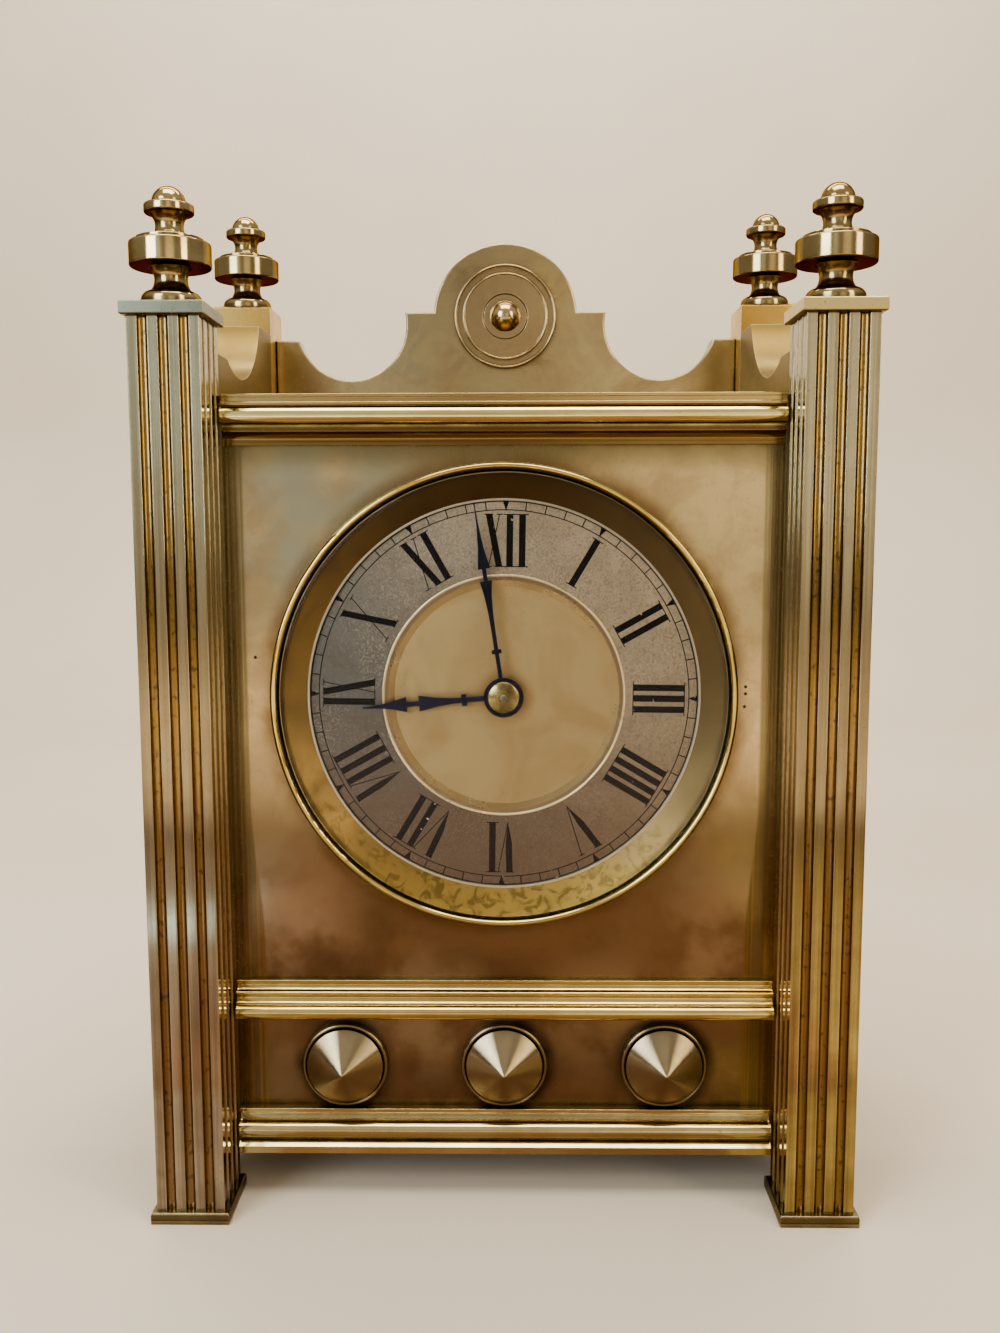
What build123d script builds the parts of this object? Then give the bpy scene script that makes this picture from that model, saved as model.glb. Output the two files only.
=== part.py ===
from build123d import *
import os
from math import cos, radians, sin, sqrt

# A brass architectural mantel clock with four corner posts, a round dial and a back door.
# X runs to the right, +Y away from the viewer, +Z up. The origin is under the middle, on the table.
# All sizes are in millimetres.

# Corner posts, rises measured up from the roof
post_width = 26.0
post_span_y = 126.0
post_wall = 4.0
front_post_rise = 25.1
rear_post_rise = 51.4
flutes_per_face = 3
foot_height = 4.5
cap_height = 5.0
plate_overhang = 2.0
edge_round = 0.8
tie_rod_radius = 3.0

# Finials
finial_flange_radius = 10.8
finial_flange_height = 2.0
finial_flange_round = 3.1
finial_low_neck_radius = 5.9
finial_low_neck_height = 8.5
finial_drum_radius = 14.6
finial_drum_height = 8.8
finial_step_radius = 12.0
finial_step_height = 1.4
finial_high_neck_radius = 5.0
finial_high_neck_height = 8.6
finial_neck_flare = 2.1
finial_disc_radius = 8.9
finial_disc_height = 3.4
finial_quirk_radius = 5.5
finial_quirk_height = 0.7
finial_dome_radius = 6.1
finial_dome_height = 5.7

# Case sheet and rails
sheet = 3.0
case_bottom = 17.8
side_inset = 9.0
rail_gap = 1.5
rail_depth = 7.2
rail_quirk = 0.4
hollow_inward = 0.25
hollow_upward = 0.3
base_rail_height = 17.2
frieze_height = 37.2
mid_rail_height = 15.2
cornice_height = 18.8

# Frieze bosses
boss_spread = 0.592
boss_margin = 1.6
boss_drop = 1.4
boss_rim = 1.6
boss_rim_height = 2.8
boss_groove = 0.3
boss_groove_level = 1.0
boss_edge_height = 3.6
boss_height = 12.8
boss_tip_radius = 0.8

# Pediment and side crests, rises measured up from the roof
pediment_thickness = 13.0
pediment_edge = 0.5
pediment_rise = 81.6
pediment_arch_radius = 33.3
pediment_ledge_width = 13.4
pediment_ledge_rise = 50.6
pediment_shoulder_width = 10.6
pediment_shoulder_rise = 37.9
pediment_valley_x = 74.5
pediment_valley_rise = 19.6
roundel_radius = 23.5
roundel_disc_radius = 19.7
roundel_bead = 1.0
roundel_ring_height = 2.2
roundel_channel = 0.7
roundel_field = 1.5
roundel_washer = 1.1
roundel_boss_base = 10.0
roundel_boss_radius = 7.0
roundel_boss_height = 6.5
crest_outset = 2.0
crest_scoop_radius = 44.0
crest_valley_rise = 10.6
crest_valley_y = -15.0
crest_front_step = 5.0
crest_rear_step = 27.5

# Dial, and the room round its bezel
dial_radius = 75.6
dial_depth = 5.0
sight_width = 10.5
sight_wall = 0.9
sight_lip = 0.9
sight_lip_height = 1.2
sight_clearance = 0.3
bezel_width = 3.6
bezel_bead = 2.5
bezel_step = 0.4
bezel_step_height = 1.2
bezel_rise = 1.1
bezel_head_room = 6.1
bezel_foot_room = 22.1
bezel_side_room = 17.0
glass_thickness = 1.5
glass_clearance = 1.0
glass_fit = 0.1
glass_bevel = 2.4
glass_bevel_depth = 0.8
chapter_lap = 3.5
chapter_width = 31.6
chapter_thickness = 1.5
dial_plate_lap = 7.0
dial_plate_thickness = 1.5
centre_rim = 4.8
centre_floor = 0.6
centre_bead = 0.4

# Hands: reach in dial radii, marks in hand lengths for the collar, the flare and the two barbs
hand_thickness = 0.8
hour_hand_lift = 1.6
minute_hand_lift = 4.0
hour_angle = 265.5
minute_angle = 351.5
hour_reach = 0.727
minute_reach = 0.995
hour_marks = (0.28, 0.41, 0.60, 0.69)
minute_marks = (0.24, 0.47, 0.60, 0.667)
hour_leaf = 5.8
minute_leaf = 4.7
hand_shaft_share = 0.34
hand_point_share = 0.13
hand_collar_share = 0.8
hour_eye = 5.6
minute_eye = 7.7
collet_radius = 6.2
collet_height = 1.3
collet_bow_radius = 0.65
collet_bow_height = 0.75
arbor_tip = 0.8

# Train, in modules and tooth counts
tooth_half_width = 0.62
tooth_tip_half_width = 0.14
tooth_addendum = 0.9
tooth_dedendum = 1.2
tooth_heel = 0.3
wheel_rim = 3.2
spoke_share = 0.55
wheel_flank = 0.85
pinion_flank = 0.45
motion_distance = 14.0
cannon_teeth = 12
minute_wheel_teeth = 36
minute_pinion_teeth = 10
hour_wheel_teeth = 40
great_module = 0.7
great_teeth = 72
centre_pinion_teeth = 12
centre_module = 0.6
centre_teeth = 64
third_pinion_teeth = 8
third_module = 0.5
third_teeth = 60
third_wheel_share = 0.3
wheel_thickness = 1.2
pinion_overlap = 0.8
crossing_spokes = 4
shaft_clearance = 0.05
running_gap = 0.4

# Movement plates and arbors
plate_half_width = 36.0
plate_margin = 6.3
plate_thickness = 2.5
plate_space = 31.5
motion_space = 10.0
plate_corner = 8.0
pillar_radius = 3.0
pillar_inset = 6.0
dial_foot_radius = 2.5
dial_foot_inset = 12.0
centre_arbor_radius = 1.2
cannon_pipe_radius = 2.2
hour_pipe_wall = 1.0
stud_radius = 0.8
stud_head_radius = 1.9
third_arbor_radius = 1.0
winding_arbor_radius = 2.5
winding_square = 3.4
winding_reach = 11.5
setting_square = 1.6
setting_reach = 6.0
barrel_radius = 21.0
barrel_share = 0.65
great_thickness = 2.0

# Platform escapement
platform_half_width = 20.0
platform_thickness = 2.0
balance_room = 2.75
balance_rim = 1.4
balance_lift = 4.0
staff_radius = 0.6
cock_lift = 7.5
cock_thickness = 2.0
cock_width = 7.0
escapement_width = 16.0
escapement_depth = 6.5
escapement_gap = 2.95

# Back frame, door and hinges
back_recess = 7.0
door_side_room = 27.0
door_foot_room = 42.2
door_head_room = 24.4
door_lap = 4.0
door_thickness = 2.5
door_gap = 0.3
door_corner = 4.0
hinge_offset = 3.5
hinge_radius = 2.2
hinge_pin_radius = 1.0
hinge_segment = 8.0
hinge_split = 0.2
hinge_leaf = 1.2
hinge_margin = 5.0
hinge_inset = 40.0
knob_radius = 4.0
knob_foot_share = 0.7
knob_neck_share = 0.45
knob_face_share = 0.5
knob_neck_rise = 0.4
knob_bulge_rise = 0.72
knob_height = 5.2
knob_inset = 9.0

# Screws
screw_head_radius = 2.6
screw_head_height = 1.4
dial_screw_count = 4
back_screw_rows = 3
back_screw_inset = 8.0

# Dial radii, from the visible dial outward and inward
sight_outer = dial_radius + sight_width
dial_opening = sight_outer + sight_clearance
bezel_radius = dial_opening + bezel_width
dial_plate_radius = dial_opening + dial_plate_lap
chapter_outer = dial_radius + chapter_lap
chapter_inner = chapter_outer - chapter_width
centre_radius = chapter_inner - centre_rim

# Places across the case
inner_x = bezel_radius + bezel_side_room
post_x = inner_x + post_width / 2
post_span_x = 2 * post_x
side_x = inner_x + post_width - side_inset

# Levels up the case
base_rail_top = case_bottom + base_rail_height
mid_rail_bottom = base_rail_top + frieze_height
mid_rail_top = mid_rail_bottom + mid_rail_height
dial_z = mid_rail_top + bezel_foot_room + bezel_radius
cornice_bottom = dial_z + bezel_radius + bezel_head_room
roof_top = cornice_bottom + cornice_height
front_post_top = roof_top + front_post_rise
rear_post_top = roof_top + rear_post_rise
cap_top = front_post_top + cap_height
pediment_top = roof_top + pediment_rise
pediment_ledge = roof_top + pediment_ledge_rise
pediment_shoulder = roof_top + pediment_shoulder_rise
pediment_valley = roof_top + pediment_valley_rise
roundel_z = pediment_top - pediment_arch_radius
crest_valley = roof_top + crest_valley_rise
crest_front_shoulder = crest_valley + crest_front_step
crest_rear_shoulder = crest_valley + crest_rear_step
door_bottom = case_bottom + door_foot_room
door_top = roof_top - door_head_room

# Places from the front of the case to the back
post_y = post_span_y / 2
panel_y = post_y - post_width / 2
back_y = post_y + post_width / 2
pediment_y = back_y - pediment_thickness
panel_back_y = -panel_y + sheet
chapter_y = -panel_y + dial_depth
dial_plate_y = chapter_y + chapter_thickness
dial_back_y = dial_plate_y + dial_plate_thickness
front_plate_y = dial_back_y + motion_space
plates_inside_y = front_plate_y + plate_thickness
back_plate_y = plates_inside_y + plate_space
movement_back_y = back_plate_y + plate_thickness
hour_hand_y = chapter_y - hour_hand_lift
minute_hand_y = chapter_y - minute_hand_lift
hand_front_y = minute_hand_y - hand_thickness
arbor_tip_y = hand_front_y - collet_height - arbor_tip
glass_seat = -panel_y - arbor_tip_y + glass_clearance
bezel_height = glass_seat + glass_thickness + bezel_rise
back_frame_y = back_y - back_recess
door_y = back_frame_y + door_gap
door_face_y = door_y + door_thickness

# Train centres, and the plates that hold them
barrel_z = dial_z - great_module * (great_teeth + centre_pinion_teeth) / 2
third_z = dial_z + centre_module * (centre_teeth + third_pinion_teeth) / 2
plate_bottom = barrel_z - great_module * (great_teeth / 2 + tooth_addendum) - plate_margin
third_tip = third_module * (third_teeth / 2 + tooth_addendum)
plate_top = third_z + third_tip + escapement_gap + escapement_depth
hour_pipe_bore = cannon_pipe_radius + shaft_clearance
hour_pipe_radius = hour_pipe_bore + hour_pipe_wall

# Door hinge line
door_opening_x = 2 * (inner_x - door_side_room)
door_half = door_opening_x / 2 + door_lap
hinge_x = -(door_half + hinge_offset)
hinge_y = door_face_y + door_gap
hinge_clear = hinge_radius + door_gap
hinge_leaf_length = inner_x + hinge_x - hinge_clear - hinge_margin


def front_plane(x, y, z):
    """An upright plane facing the viewer: x to the right, y up."""
    return Plane(origin=(x, y, z), x_dir=(1, 0, 0), z_dir=(0, -1, 0))


def turning_plane(x, y, z):
    """A level plane for profiles turned about the dial axis: radius across, y toward the viewer."""
    return Plane(origin=(x, y, z), x_dir=(1, 0, 0), z_dir=(0, 0, -1))


def hand_plane(y, angle):
    """An upright plane at the dial centre whose y points at a clockwise angle from twelve."""
    turn = radians(angle)
    return Plane(origin=(0, y, dial_z), x_dir=(cos(turn), 0, -sin(turn)), z_dir=(0, -1, 0))


def upright_axis(x, y):
    return Axis((x, y, 0), (0, 0, 1))


def dial_axis(x, z):
    return Axis((x, 0, z), (0, -1, 0))


def dome_curve(radius, height):
    """Radius of the ball whose cap has this base radius and height."""
    return (radius**2 + height**2) / (2 * height)


def save(piece, label):
    piece.part.label = label
    export_step(piece.part, f"parts/{label}.step")


os.makedirs("parts", exist_ok=True)
sides = {"left": -1, "right": 1}


# Foot plates under the four posts
foot_width = post_width + 2 * plate_overhang
with BuildPart() as feet:
    with GridLocations(post_span_x, post_span_y, 2, 2):
        Box(foot_width, foot_width, foot_height, align=(Align.CENTER, Align.CENTER, Align.MIN))
    fillet(feet.edges().group_by(Axis.Z)[-1], edge_round)
save(feet, "foot_plates")


# Front posts, fluted on the front and on both flanks
def front_post(x):
    band = post_width / (2 * flutes_per_face + 1)
    with BuildPart() as post:
        with BuildSketch(Plane(origin=(x, -post_y, foot_height))):
            Rectangle(post_width, post_width)
            Circle(post_width / 2 - post_wall, mode=Mode.SUBTRACT)
            with Locations((0, -post_width / 2)):
                with GridLocations(2 * band, 0, flutes_per_face, 1):
                    Circle(band / 2, mode=Mode.SUBTRACT)
            with GridLocations(post_width, 2 * band, 2, flutes_per_face):
                Circle(band / 2, mode=Mode.SUBTRACT)
        extrude(amount=front_post_top - foot_height)
    return post


# Rear posts, plain and taller
def rear_post(x):
    with BuildPart() as post:
        with BuildSketch(Plane(origin=(x, post_y, foot_height))):
            Rectangle(post_width, post_width)
            Circle(post_width / 2 - post_wall, mode=Mode.SUBTRACT)
        extrude(amount=rear_post_top - foot_height)
        chamfer(post.faces().sort_by(Axis.Z)[-1].outer_wire().edges(), edge_round)
    return post


# Square caps on the front posts
def post_cap(x):
    with BuildPart() as cap:
        with BuildSketch(Plane(origin=(x, -post_y, front_post_top))):
            Rectangle(foot_width, foot_width)
            Circle(tie_rod_radius + shaft_clearance, mode=Mode.SUBTRACT)
        extrude(amount=cap_height)
        fillet(cap.faces().filter_by(Axis.Z).sort_by(Axis.Z)[-1].outer_wire().edges(), edge_round)
        fillet(cap.faces().filter_by(Axis.Z).sort_by(Axis.Z)[0].outer_wire().edges(), edge_round)
    return cap


# Turned finials: flange, neck, drum, neck, disc and dome
def turned_drum(radius, foot, top):
    """The outside of a turned drum with both edges eased, from its foot to its top."""
    eased = radius - edge_round
    RadiusArc((eased, foot), (radius, foot + edge_round), -edge_round)
    Line((radius, foot + edge_round), (radius, top - edge_round))
    RadiusArc((radius, top - edge_round), (eased, top), -edge_round)


def finial(x, y, z):
    flange_shoulder = finial_flange_radius - finial_flange_round
    low_neck_foot = finial_flange_height + finial_flange_round
    drum_foot = low_neck_foot + finial_low_neck_height
    drum_top = drum_foot + finial_drum_height
    step_top = drum_top + finial_step_height
    high_flare = finial_high_neck_radius + finial_neck_flare
    disc_foot = step_top + finial_high_neck_height
    disc_top = disc_foot + finial_disc_height
    dome_foot = disc_top + finial_quirk_height
    tip = dome_foot + finial_dome_height
    with BuildPart() as piece:
        with BuildSketch(front_plane(x, y, z)):
            with BuildLine():
                Polyline((0, 0), (finial_flange_radius, 0), (finial_flange_radius, finial_flange_height))
                RadiusArc(
                    (finial_flange_radius, finial_flange_height),
                    (flange_shoulder, low_neck_foot),
                    -finial_flange_round,
                )
                ThreePointArc(
                    (flange_shoulder, low_neck_foot),
                    (finial_low_neck_radius, (low_neck_foot + drum_foot) / 2),
                    (flange_shoulder, drum_foot),
                )
                Line((flange_shoulder, drum_foot), (finial_drum_radius - edge_round, drum_foot))
                turned_drum(finial_drum_radius, drum_foot, drum_top)
                Polyline(
                    (finial_drum_radius - edge_round, drum_top),
                    (finial_step_radius, drum_top),
                    (finial_step_radius, step_top),
                    (high_flare, step_top),
                )
                ThreePointArc(
                    (high_flare, step_top),
                    (finial_high_neck_radius, (step_top + disc_foot) / 2),
                    (high_flare, disc_foot),
                )
                Line((high_flare, disc_foot), (finial_disc_radius - edge_round, disc_foot))
                turned_drum(finial_disc_radius, disc_foot, disc_top)
                Polyline(
                    (finial_disc_radius - edge_round, disc_top),
                    (finial_quirk_radius, disc_top),
                    (finial_quirk_radius, dome_foot),
                    (finial_dome_radius, dome_foot),
                )
                RadiusArc(
                    (finial_dome_radius, dome_foot),
                    (0, tip),
                    -dome_curve(finial_dome_radius, finial_dome_height),
                )
                Line((0, tip), (0, 0))
            make_face()
        revolve(axis=upright_axis(x, y))
    return piece


for side, sign in sides.items():
    save(front_post(sign * post_x), f"front_post_{side}")
    save(rear_post(sign * post_x), f"rear_post_{side}")
    save(post_cap(sign * post_x), f"post_cap_{side}")
    save(finial(sign * post_x, -post_y, cap_top), f"front_finial_{side}")
    save(finial(sign * post_x, post_y, rear_post_top), f"rear_finial_{side}")

# Tie rods up the posts, from the feet to the finials
with BuildPart() as tie_rods:
    for row, top in ((-post_y, cap_top), (post_y, rear_post_top)):
        with BuildSketch(Plane(origin=(0, row, foot_height))):
            with GridLocations(post_span_x, 0, 2, 1):
                Circle(tie_rod_radius)
        extrude(amount=top - foot_height)
save(tie_rods, "tie_rods")


# Base and roof sheets, with a tongue between the rear posts
def level_sheet(z):
    with BuildPart() as plate:
        with BuildSketch(Plane.XY.offset(z)):
            Rectangle(2 * side_x, 2 * panel_y)
            with Locations((0, (panel_y + back_y) / 2)):
                Rectangle(2 * inner_x, back_y - panel_y)
        extrude(amount=sheet)
    return plate


save(level_sheet(case_bottom), "base_plate")
save(level_sheet(roof_top - sheet), "roof_plate")

# Front panel with the round dial opening
wall_bottom = case_bottom + sheet
wall_top = roof_top - sheet
wall_mid = (wall_bottom + wall_top) / 2
with BuildPart() as front_panel:
    with BuildSketch(front_plane(0, panel_back_y, wall_mid)):
        Rectangle(2 * side_x, wall_top - wall_bottom)
        with Locations((0, dial_z - wall_mid)):
            Circle(dial_opening, mode=Mode.SUBTRACT)
    extrude(amount=sheet)
save(front_panel, "front_panel")

# Side panels between the front panel and the rear posts
for side, sign in sides.items():
    with BuildPart() as side_panel:
        with BuildSketch(Plane(origin=(sign * (side_x - sheet / 2), panel_y, wall_bottom))):
            Rectangle(sheet, panel_y - panel_back_y, align=(Align.CENTER, Align.MAX))
        extrude(amount=wall_top - wall_bottom)
    save(side_panel, f"side_panel_{side}")


# Rail sections, drawn out from the wall (x) and up from the foot of the rail (y)
def hollow(outer, foot, inner, top):
    """A hollow that curves in and up from its lower lip to its upper edge."""
    middle_x = inner + (outer - inner) * hollow_inward
    middle_y = foot + (top - foot) * hollow_upward
    ThreePointArc((outer, foot), (middle_x, middle_y), (inner, top))


def cornice_section():
    levels = (cornice_height * share for share in (0.06, 0.26, 0.30, 0.40, 0.76, 0.84, 0.94))
    lip_top, cove_top, edge_top, roll_foot, roll_top, band_foot, band_top = levels
    depths = (rail_depth * share for share in (0.30, 0.62, 0.42, 0.80, 0.72, 0.78))
    lip_depth, edge_depth, recess_depth, fillet_depth, band_depth, top_depth = depths
    roll_depth = rail_depth - (roll_top - roll_foot) / 2
    fillet_foot = roll_top + rail_quirk
    with BuildLine() as section:
        Polyline((0, 0), (lip_depth, 0), (lip_depth, lip_top))
        hollow(edge_depth, cove_top, lip_depth, lip_top)
        Polyline(
            (edge_depth, cove_top),
            (edge_depth, edge_top),
            (recess_depth, edge_top),
            (recess_depth, roll_foot),
            (roll_depth, roll_foot),
        )
        ThreePointArc(
            (roll_depth, roll_foot),
            (rail_depth, (roll_foot + roll_top) / 2),
            (roll_depth, roll_top),
        )
        Polyline(
            (roll_depth, roll_top),
            (roll_depth, fillet_foot),
            (fillet_depth, fillet_foot),
            (fillet_depth, band_foot),
            (band_depth, band_foot),
            (band_depth, band_top),
            (top_depth, band_top),
            (top_depth, cornice_height),
            (0, cornice_height),
            (0, 0),
        )
    return section.line


def mid_rail_section():
    levels = (mid_rail_height * share for share in (0.375, 0.425, 0.62, 0.64, 0.735, 0.92))
    roll_top, cove_foot, cove_top, bead_foot, bead_top, cavetto_top = levels
    depths = (rail_depth * share for share in (0.44, 0.66, 0.26, 0.40))
    cove_depth, bead_face, cavetto_depth, top_depth = depths
    roll_depth = rail_depth - roll_top / 2
    bead_depth = bead_face - (bead_top - bead_foot) / 2
    with BuildLine() as section:
        Line((0, 0), (roll_depth, 0))
        ThreePointArc((roll_depth, 0), (rail_depth, roll_top / 2), (roll_depth, roll_top))
        Line((roll_depth, roll_top), (roll_depth, cove_foot))
        hollow(roll_depth, cove_foot, cove_depth, cove_top)
        Polyline((cove_depth, cove_top), (bead_depth, cove_top), (bead_depth, bead_foot))
        ThreePointArc(
            (bead_depth, bead_foot),
            (bead_face, (bead_foot + bead_top) / 2),
            (bead_depth, bead_top),
        )
        hollow(bead_depth, bead_top, cavetto_depth, cavetto_top)
        Polyline(
            (cavetto_depth, cavetto_top),
            (top_depth, cavetto_top),
            (top_depth, mid_rail_height),
            (0, mid_rail_height),
            (0, 0),
        )
    return section.line


def base_rail_section():
    levels = (base_rail_height * share for share in (0.16, 0.255, 0.295, 0.69, 0.905))
    band_top, bevel_top, roll_foot, roll_top, hollow_top = levels
    depths = (rail_depth * share for share in (0.72, 0.28, 0.60))
    bevel_depth, hollow_depth, top_depth = depths
    roll_depth = rail_depth - (roll_top - roll_foot) / 2
    with BuildLine() as section:
        Polyline(
            (0, 0),
            (rail_depth, 0),
            (rail_depth, band_top),
            (bevel_depth, bevel_top),
            (roll_depth, bevel_top),
            (roll_depth, roll_foot),
        )
        ThreePointArc(
            (roll_depth, roll_foot),
            (rail_depth, (roll_foot + roll_top) / 2),
            (roll_depth, roll_top),
        )
        hollow(roll_depth, roll_top, hollow_depth, hollow_top)
        Polyline(
            (hollow_depth, hollow_top),
            (top_depth, hollow_top),
            (top_depth, base_rail_height),
            (0, base_rail_height),
            (0, 0),
        )
    return section.line


# Each rail runs across the front between the posts, and along both sides
rails = {
    "base_rail": (case_bottom, base_rail_section()),
    "mid_rail": (mid_rail_bottom, mid_rail_section()),
    "cornice": (cornice_bottom, cornice_section()),
}
for rail, (rail_z, section) in rails.items():
    with BuildPart() as front_rail:
        with BuildSketch(Plane(origin=(0, -panel_y, rail_z), x_dir=(0, -1, 0), z_dir=(-1, 0, 0))):
            make_face(section)
        extrude(amount=inner_x - rail_gap, both=True)
    save(front_rail, rail)
    with BuildPart() as side_rails:
        with BuildSketch(front_plane(side_x, 0, rail_z)):
            make_face(section)
        extrude(amount=panel_y - rail_gap, both=True)
        mirror(about=Plane.YZ)
    save(side_rails, f"side_{rail}s")

# Spun conical bosses along the frieze
boss_z = (base_rail_top + mid_rail_bottom) / 2 - boss_drop
boss_spacing = inner_x * boss_spread
boss_radius = frieze_height / 2 - boss_margin
boss_ring_inner = boss_radius - boss_rim
boss_ring_shoulder = boss_rim_height - boss_rim / 2
boss_cone = boss_ring_inner - boss_groove
boss_shoulder = boss_height - boss_tip_radius / 2
for place, boss_x in (("left", -boss_spacing), ("centre", 0), ("right", boss_spacing)):
    with BuildPart() as boss:
        with BuildSketch(turning_plane(boss_x, -panel_y, boss_z)):
            with BuildLine():
                Polyline((0, 0), (boss_radius, 0), (boss_radius, boss_ring_shoulder))
                ThreePointArc(
                    (boss_radius, boss_ring_shoulder),
                    (boss_radius - boss_rim / 2, boss_rim_height),
                    (boss_ring_inner, boss_ring_shoulder),
                )
                Polyline(
                    (boss_ring_inner, boss_ring_shoulder),
                    (boss_ring_inner, boss_groove_level),
                    (boss_cone, boss_groove_level),
                    (boss_cone, boss_edge_height),
                    (boss_tip_radius, boss_shoulder),
                )
                RadiusArc(
                    (boss_tip_radius, boss_shoulder),
                    (0, boss_height),
                    -dome_curve(boss_tip_radius, boss_height - boss_shoulder),
                )
                Line((0, boss_height), (0, 0))
            make_face()
        revolve(axis=dial_axis(boss_x, boss_z))
    save(boss, f"boss_{place}")

# Pediment between the rear posts, with an arch over two scooped shoulders
ledge_end = pediment_arch_radius + pediment_ledge_width
shoulder_end = inner_x - pediment_shoulder_width
arch_start = sqrt(pediment_arch_radius**2 - (pediment_ledge - roundel_z) ** 2)
with BuildPart() as pediment:
    with BuildSketch(front_plane(0, back_y, 0)):
        with BuildLine():
            Polyline(
                (0, roof_top),
                (inner_x, roof_top),
                (inner_x, pediment_shoulder),
                (shoulder_end, pediment_shoulder),
            )
            ThreePointArc(
                (shoulder_end, pediment_shoulder),
                (pediment_valley_x, pediment_valley),
                (ledge_end, pediment_ledge),
            )
            Line((ledge_end, pediment_ledge), (arch_start, pediment_ledge))
            RadiusArc((arch_start, pediment_ledge), (0, pediment_top), -pediment_arch_radius)
            mirror(about=Plane.YZ)
        make_face()
    extrude(amount=pediment_thickness)
    front_edges = pediment.faces().sort_by(Axis.Y)[0].outer_wire().edges()
    chamfer(front_edges.sort_by(Axis.Z)[1:], pediment_edge)
save(pediment, "pediment")

# Roundel on the pediment: a turned disc with two fine beads, and a domed boss on a washer
with BuildPart() as roundel_ring:
    with BuildSketch(turning_plane(0, pediment_y, roundel_z)):
        with BuildLine():
            disc_hole = roundel_boss_base + rail_quirk
            ring_inner = roundel_radius - roundel_bead
            disc_inner = roundel_disc_radius - roundel_bead
            bead_shoulder = roundel_ring_height - roundel_bead / 2
            Polyline((disc_hole, 0), (roundel_radius, 0), (roundel_radius, bead_shoulder))
            ThreePointArc(
                (roundel_radius, bead_shoulder),
                (roundel_radius - roundel_bead / 2, roundel_ring_height),
                (ring_inner, bead_shoulder),
            )
            Polyline(
                (ring_inner, bead_shoulder),
                (ring_inner, roundel_channel),
                (roundel_disc_radius, roundel_channel),
                (roundel_disc_radius, bead_shoulder),
            )
            ThreePointArc(
                (roundel_disc_radius, bead_shoulder),
                (roundel_disc_radius - roundel_bead / 2, roundel_ring_height),
                (disc_inner, bead_shoulder),
            )
            Polyline(
                (disc_inner, bead_shoulder),
                (disc_inner, roundel_field),
                (disc_hole, roundel_field),
                (disc_hole, 0),
            )
        make_face()
    revolve(axis=dial_axis(0, roundel_z))
save(roundel_ring, "roundel_ring")

with BuildPart() as roundel_boss:
    with BuildSketch(turning_plane(0, pediment_y, roundel_z)):
        with BuildLine():
            Polyline(
                (0, 0),
                (roundel_boss_base, 0),
                (roundel_boss_base, roundel_washer),
                (roundel_boss_radius, roundel_washer),
            )
            RadiusArc(
                (roundel_boss_radius, roundel_washer),
                (0, roundel_boss_height),
                -dome_curve(roundel_boss_radius, roundel_boss_height - roundel_washer),
            )
            Line((0, roundel_boss_height), (0, 0))
        make_face()
    revolve(axis=dial_axis(0, roundel_z))
save(roundel_boss, "roundel_boss")

# Side crests on the roof, scooped between a low front shoulder and a high rear one
scoop_z = crest_valley + crest_scoop_radius
front_scoop_y = crest_valley_y - sqrt(crest_scoop_radius**2 - (scoop_z - crest_front_shoulder) ** 2)
rear_scoop_y = crest_valley_y + sqrt(crest_scoop_radius**2 - (scoop_z - crest_rear_shoulder) ** 2)
crest_outer_x = post_x + post_width / 2 - crest_outset
for side, sign in sides.items():
    with BuildPart() as side_crest:
        with BuildSketch(Plane(origin=(sign * inner_x, 0, 0), x_dir=(0, 1, 0), z_dir=(1, 0, 0))):
            with BuildLine():
                Polyline(
                    (rear_scoop_y, crest_rear_shoulder),
                    (panel_y, crest_rear_shoulder),
                    (panel_y, roof_top),
                    (-panel_y, roof_top),
                    (-panel_y, crest_front_shoulder),
                    (front_scoop_y, crest_front_shoulder),
                )
                ThreePointArc(
                    (front_scoop_y, crest_front_shoulder),
                    (crest_valley_y, crest_valley),
                    (rear_scoop_y, crest_rear_shoulder),
                )
            make_face()
        extrude(amount=sign * (crest_outer_x - inner_x))
    save(side_crest, f"side_crest_{side}")

# Bezel with a beaded rim and a seat for the glass
with BuildPart() as bezel:
    with BuildSketch(turning_plane(0, -panel_y, dial_z)):
        with BuildLine():
            bead_outer = bezel_radius - bezel_step
            bead_inner = bead_outer - bezel_bead
            bead_crown = bezel_height - bezel_bead / 2
            Polyline(
                (dial_opening, glass_seat),
                (dial_opening, 0),
                (bezel_radius, 0),
                (bezel_radius, bezel_step_height),
                (bead_outer, bezel_step_height),
                (bead_outer, bead_crown),
            )
            ThreePointArc(
                (bead_outer, bead_crown),
                (bead_outer - bezel_bead / 2, bezel_height),
                (bead_inner, bead_crown),
            )
            Polyline((bead_inner, bead_crown), (bead_inner, glass_seat), (dial_opening, glass_seat))
        make_face()
    revolve(axis=dial_axis(0, dial_z))
save(bezel, "bezel")

# Flat glass with a bevelled edge, in the bezel
with BuildPart() as glass:
    with BuildSketch(turning_plane(0, -panel_y - glass_seat, dial_z)):
        with BuildLine():
            glass_radius = bead_inner - glass_fit
            Polyline(
                (0, 0),
                (glass_radius, 0),
                (glass_radius, glass_thickness - glass_bevel_depth),
                (glass_radius - glass_bevel, glass_thickness),
                (0, glass_thickness),
                close=True,
            )
        make_face()
    revolve(axis=dial_axis(0, dial_z))
save(glass, "glass")

# Conical sight ring from the bezel down to a flat lip on the chapter ring
with BuildPart() as sight_ring:
    with BuildSketch(turning_plane(0, -panel_y, dial_z)):
        with BuildLine():
            lip_level = sight_lip_height - dial_depth
            Polyline(
                (dial_radius, -dial_depth),
                (dial_radius + sight_wall, -dial_depth),
                (sight_outer, glass_seat - sight_wall),
                (sight_outer, glass_seat),
                (dial_radius + sight_lip, lip_level),
                (dial_radius, lip_level),
                close=True,
            )
        make_face()
    revolve(axis=dial_axis(0, dial_z))
save(sight_ring, "sight_ring")

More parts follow.
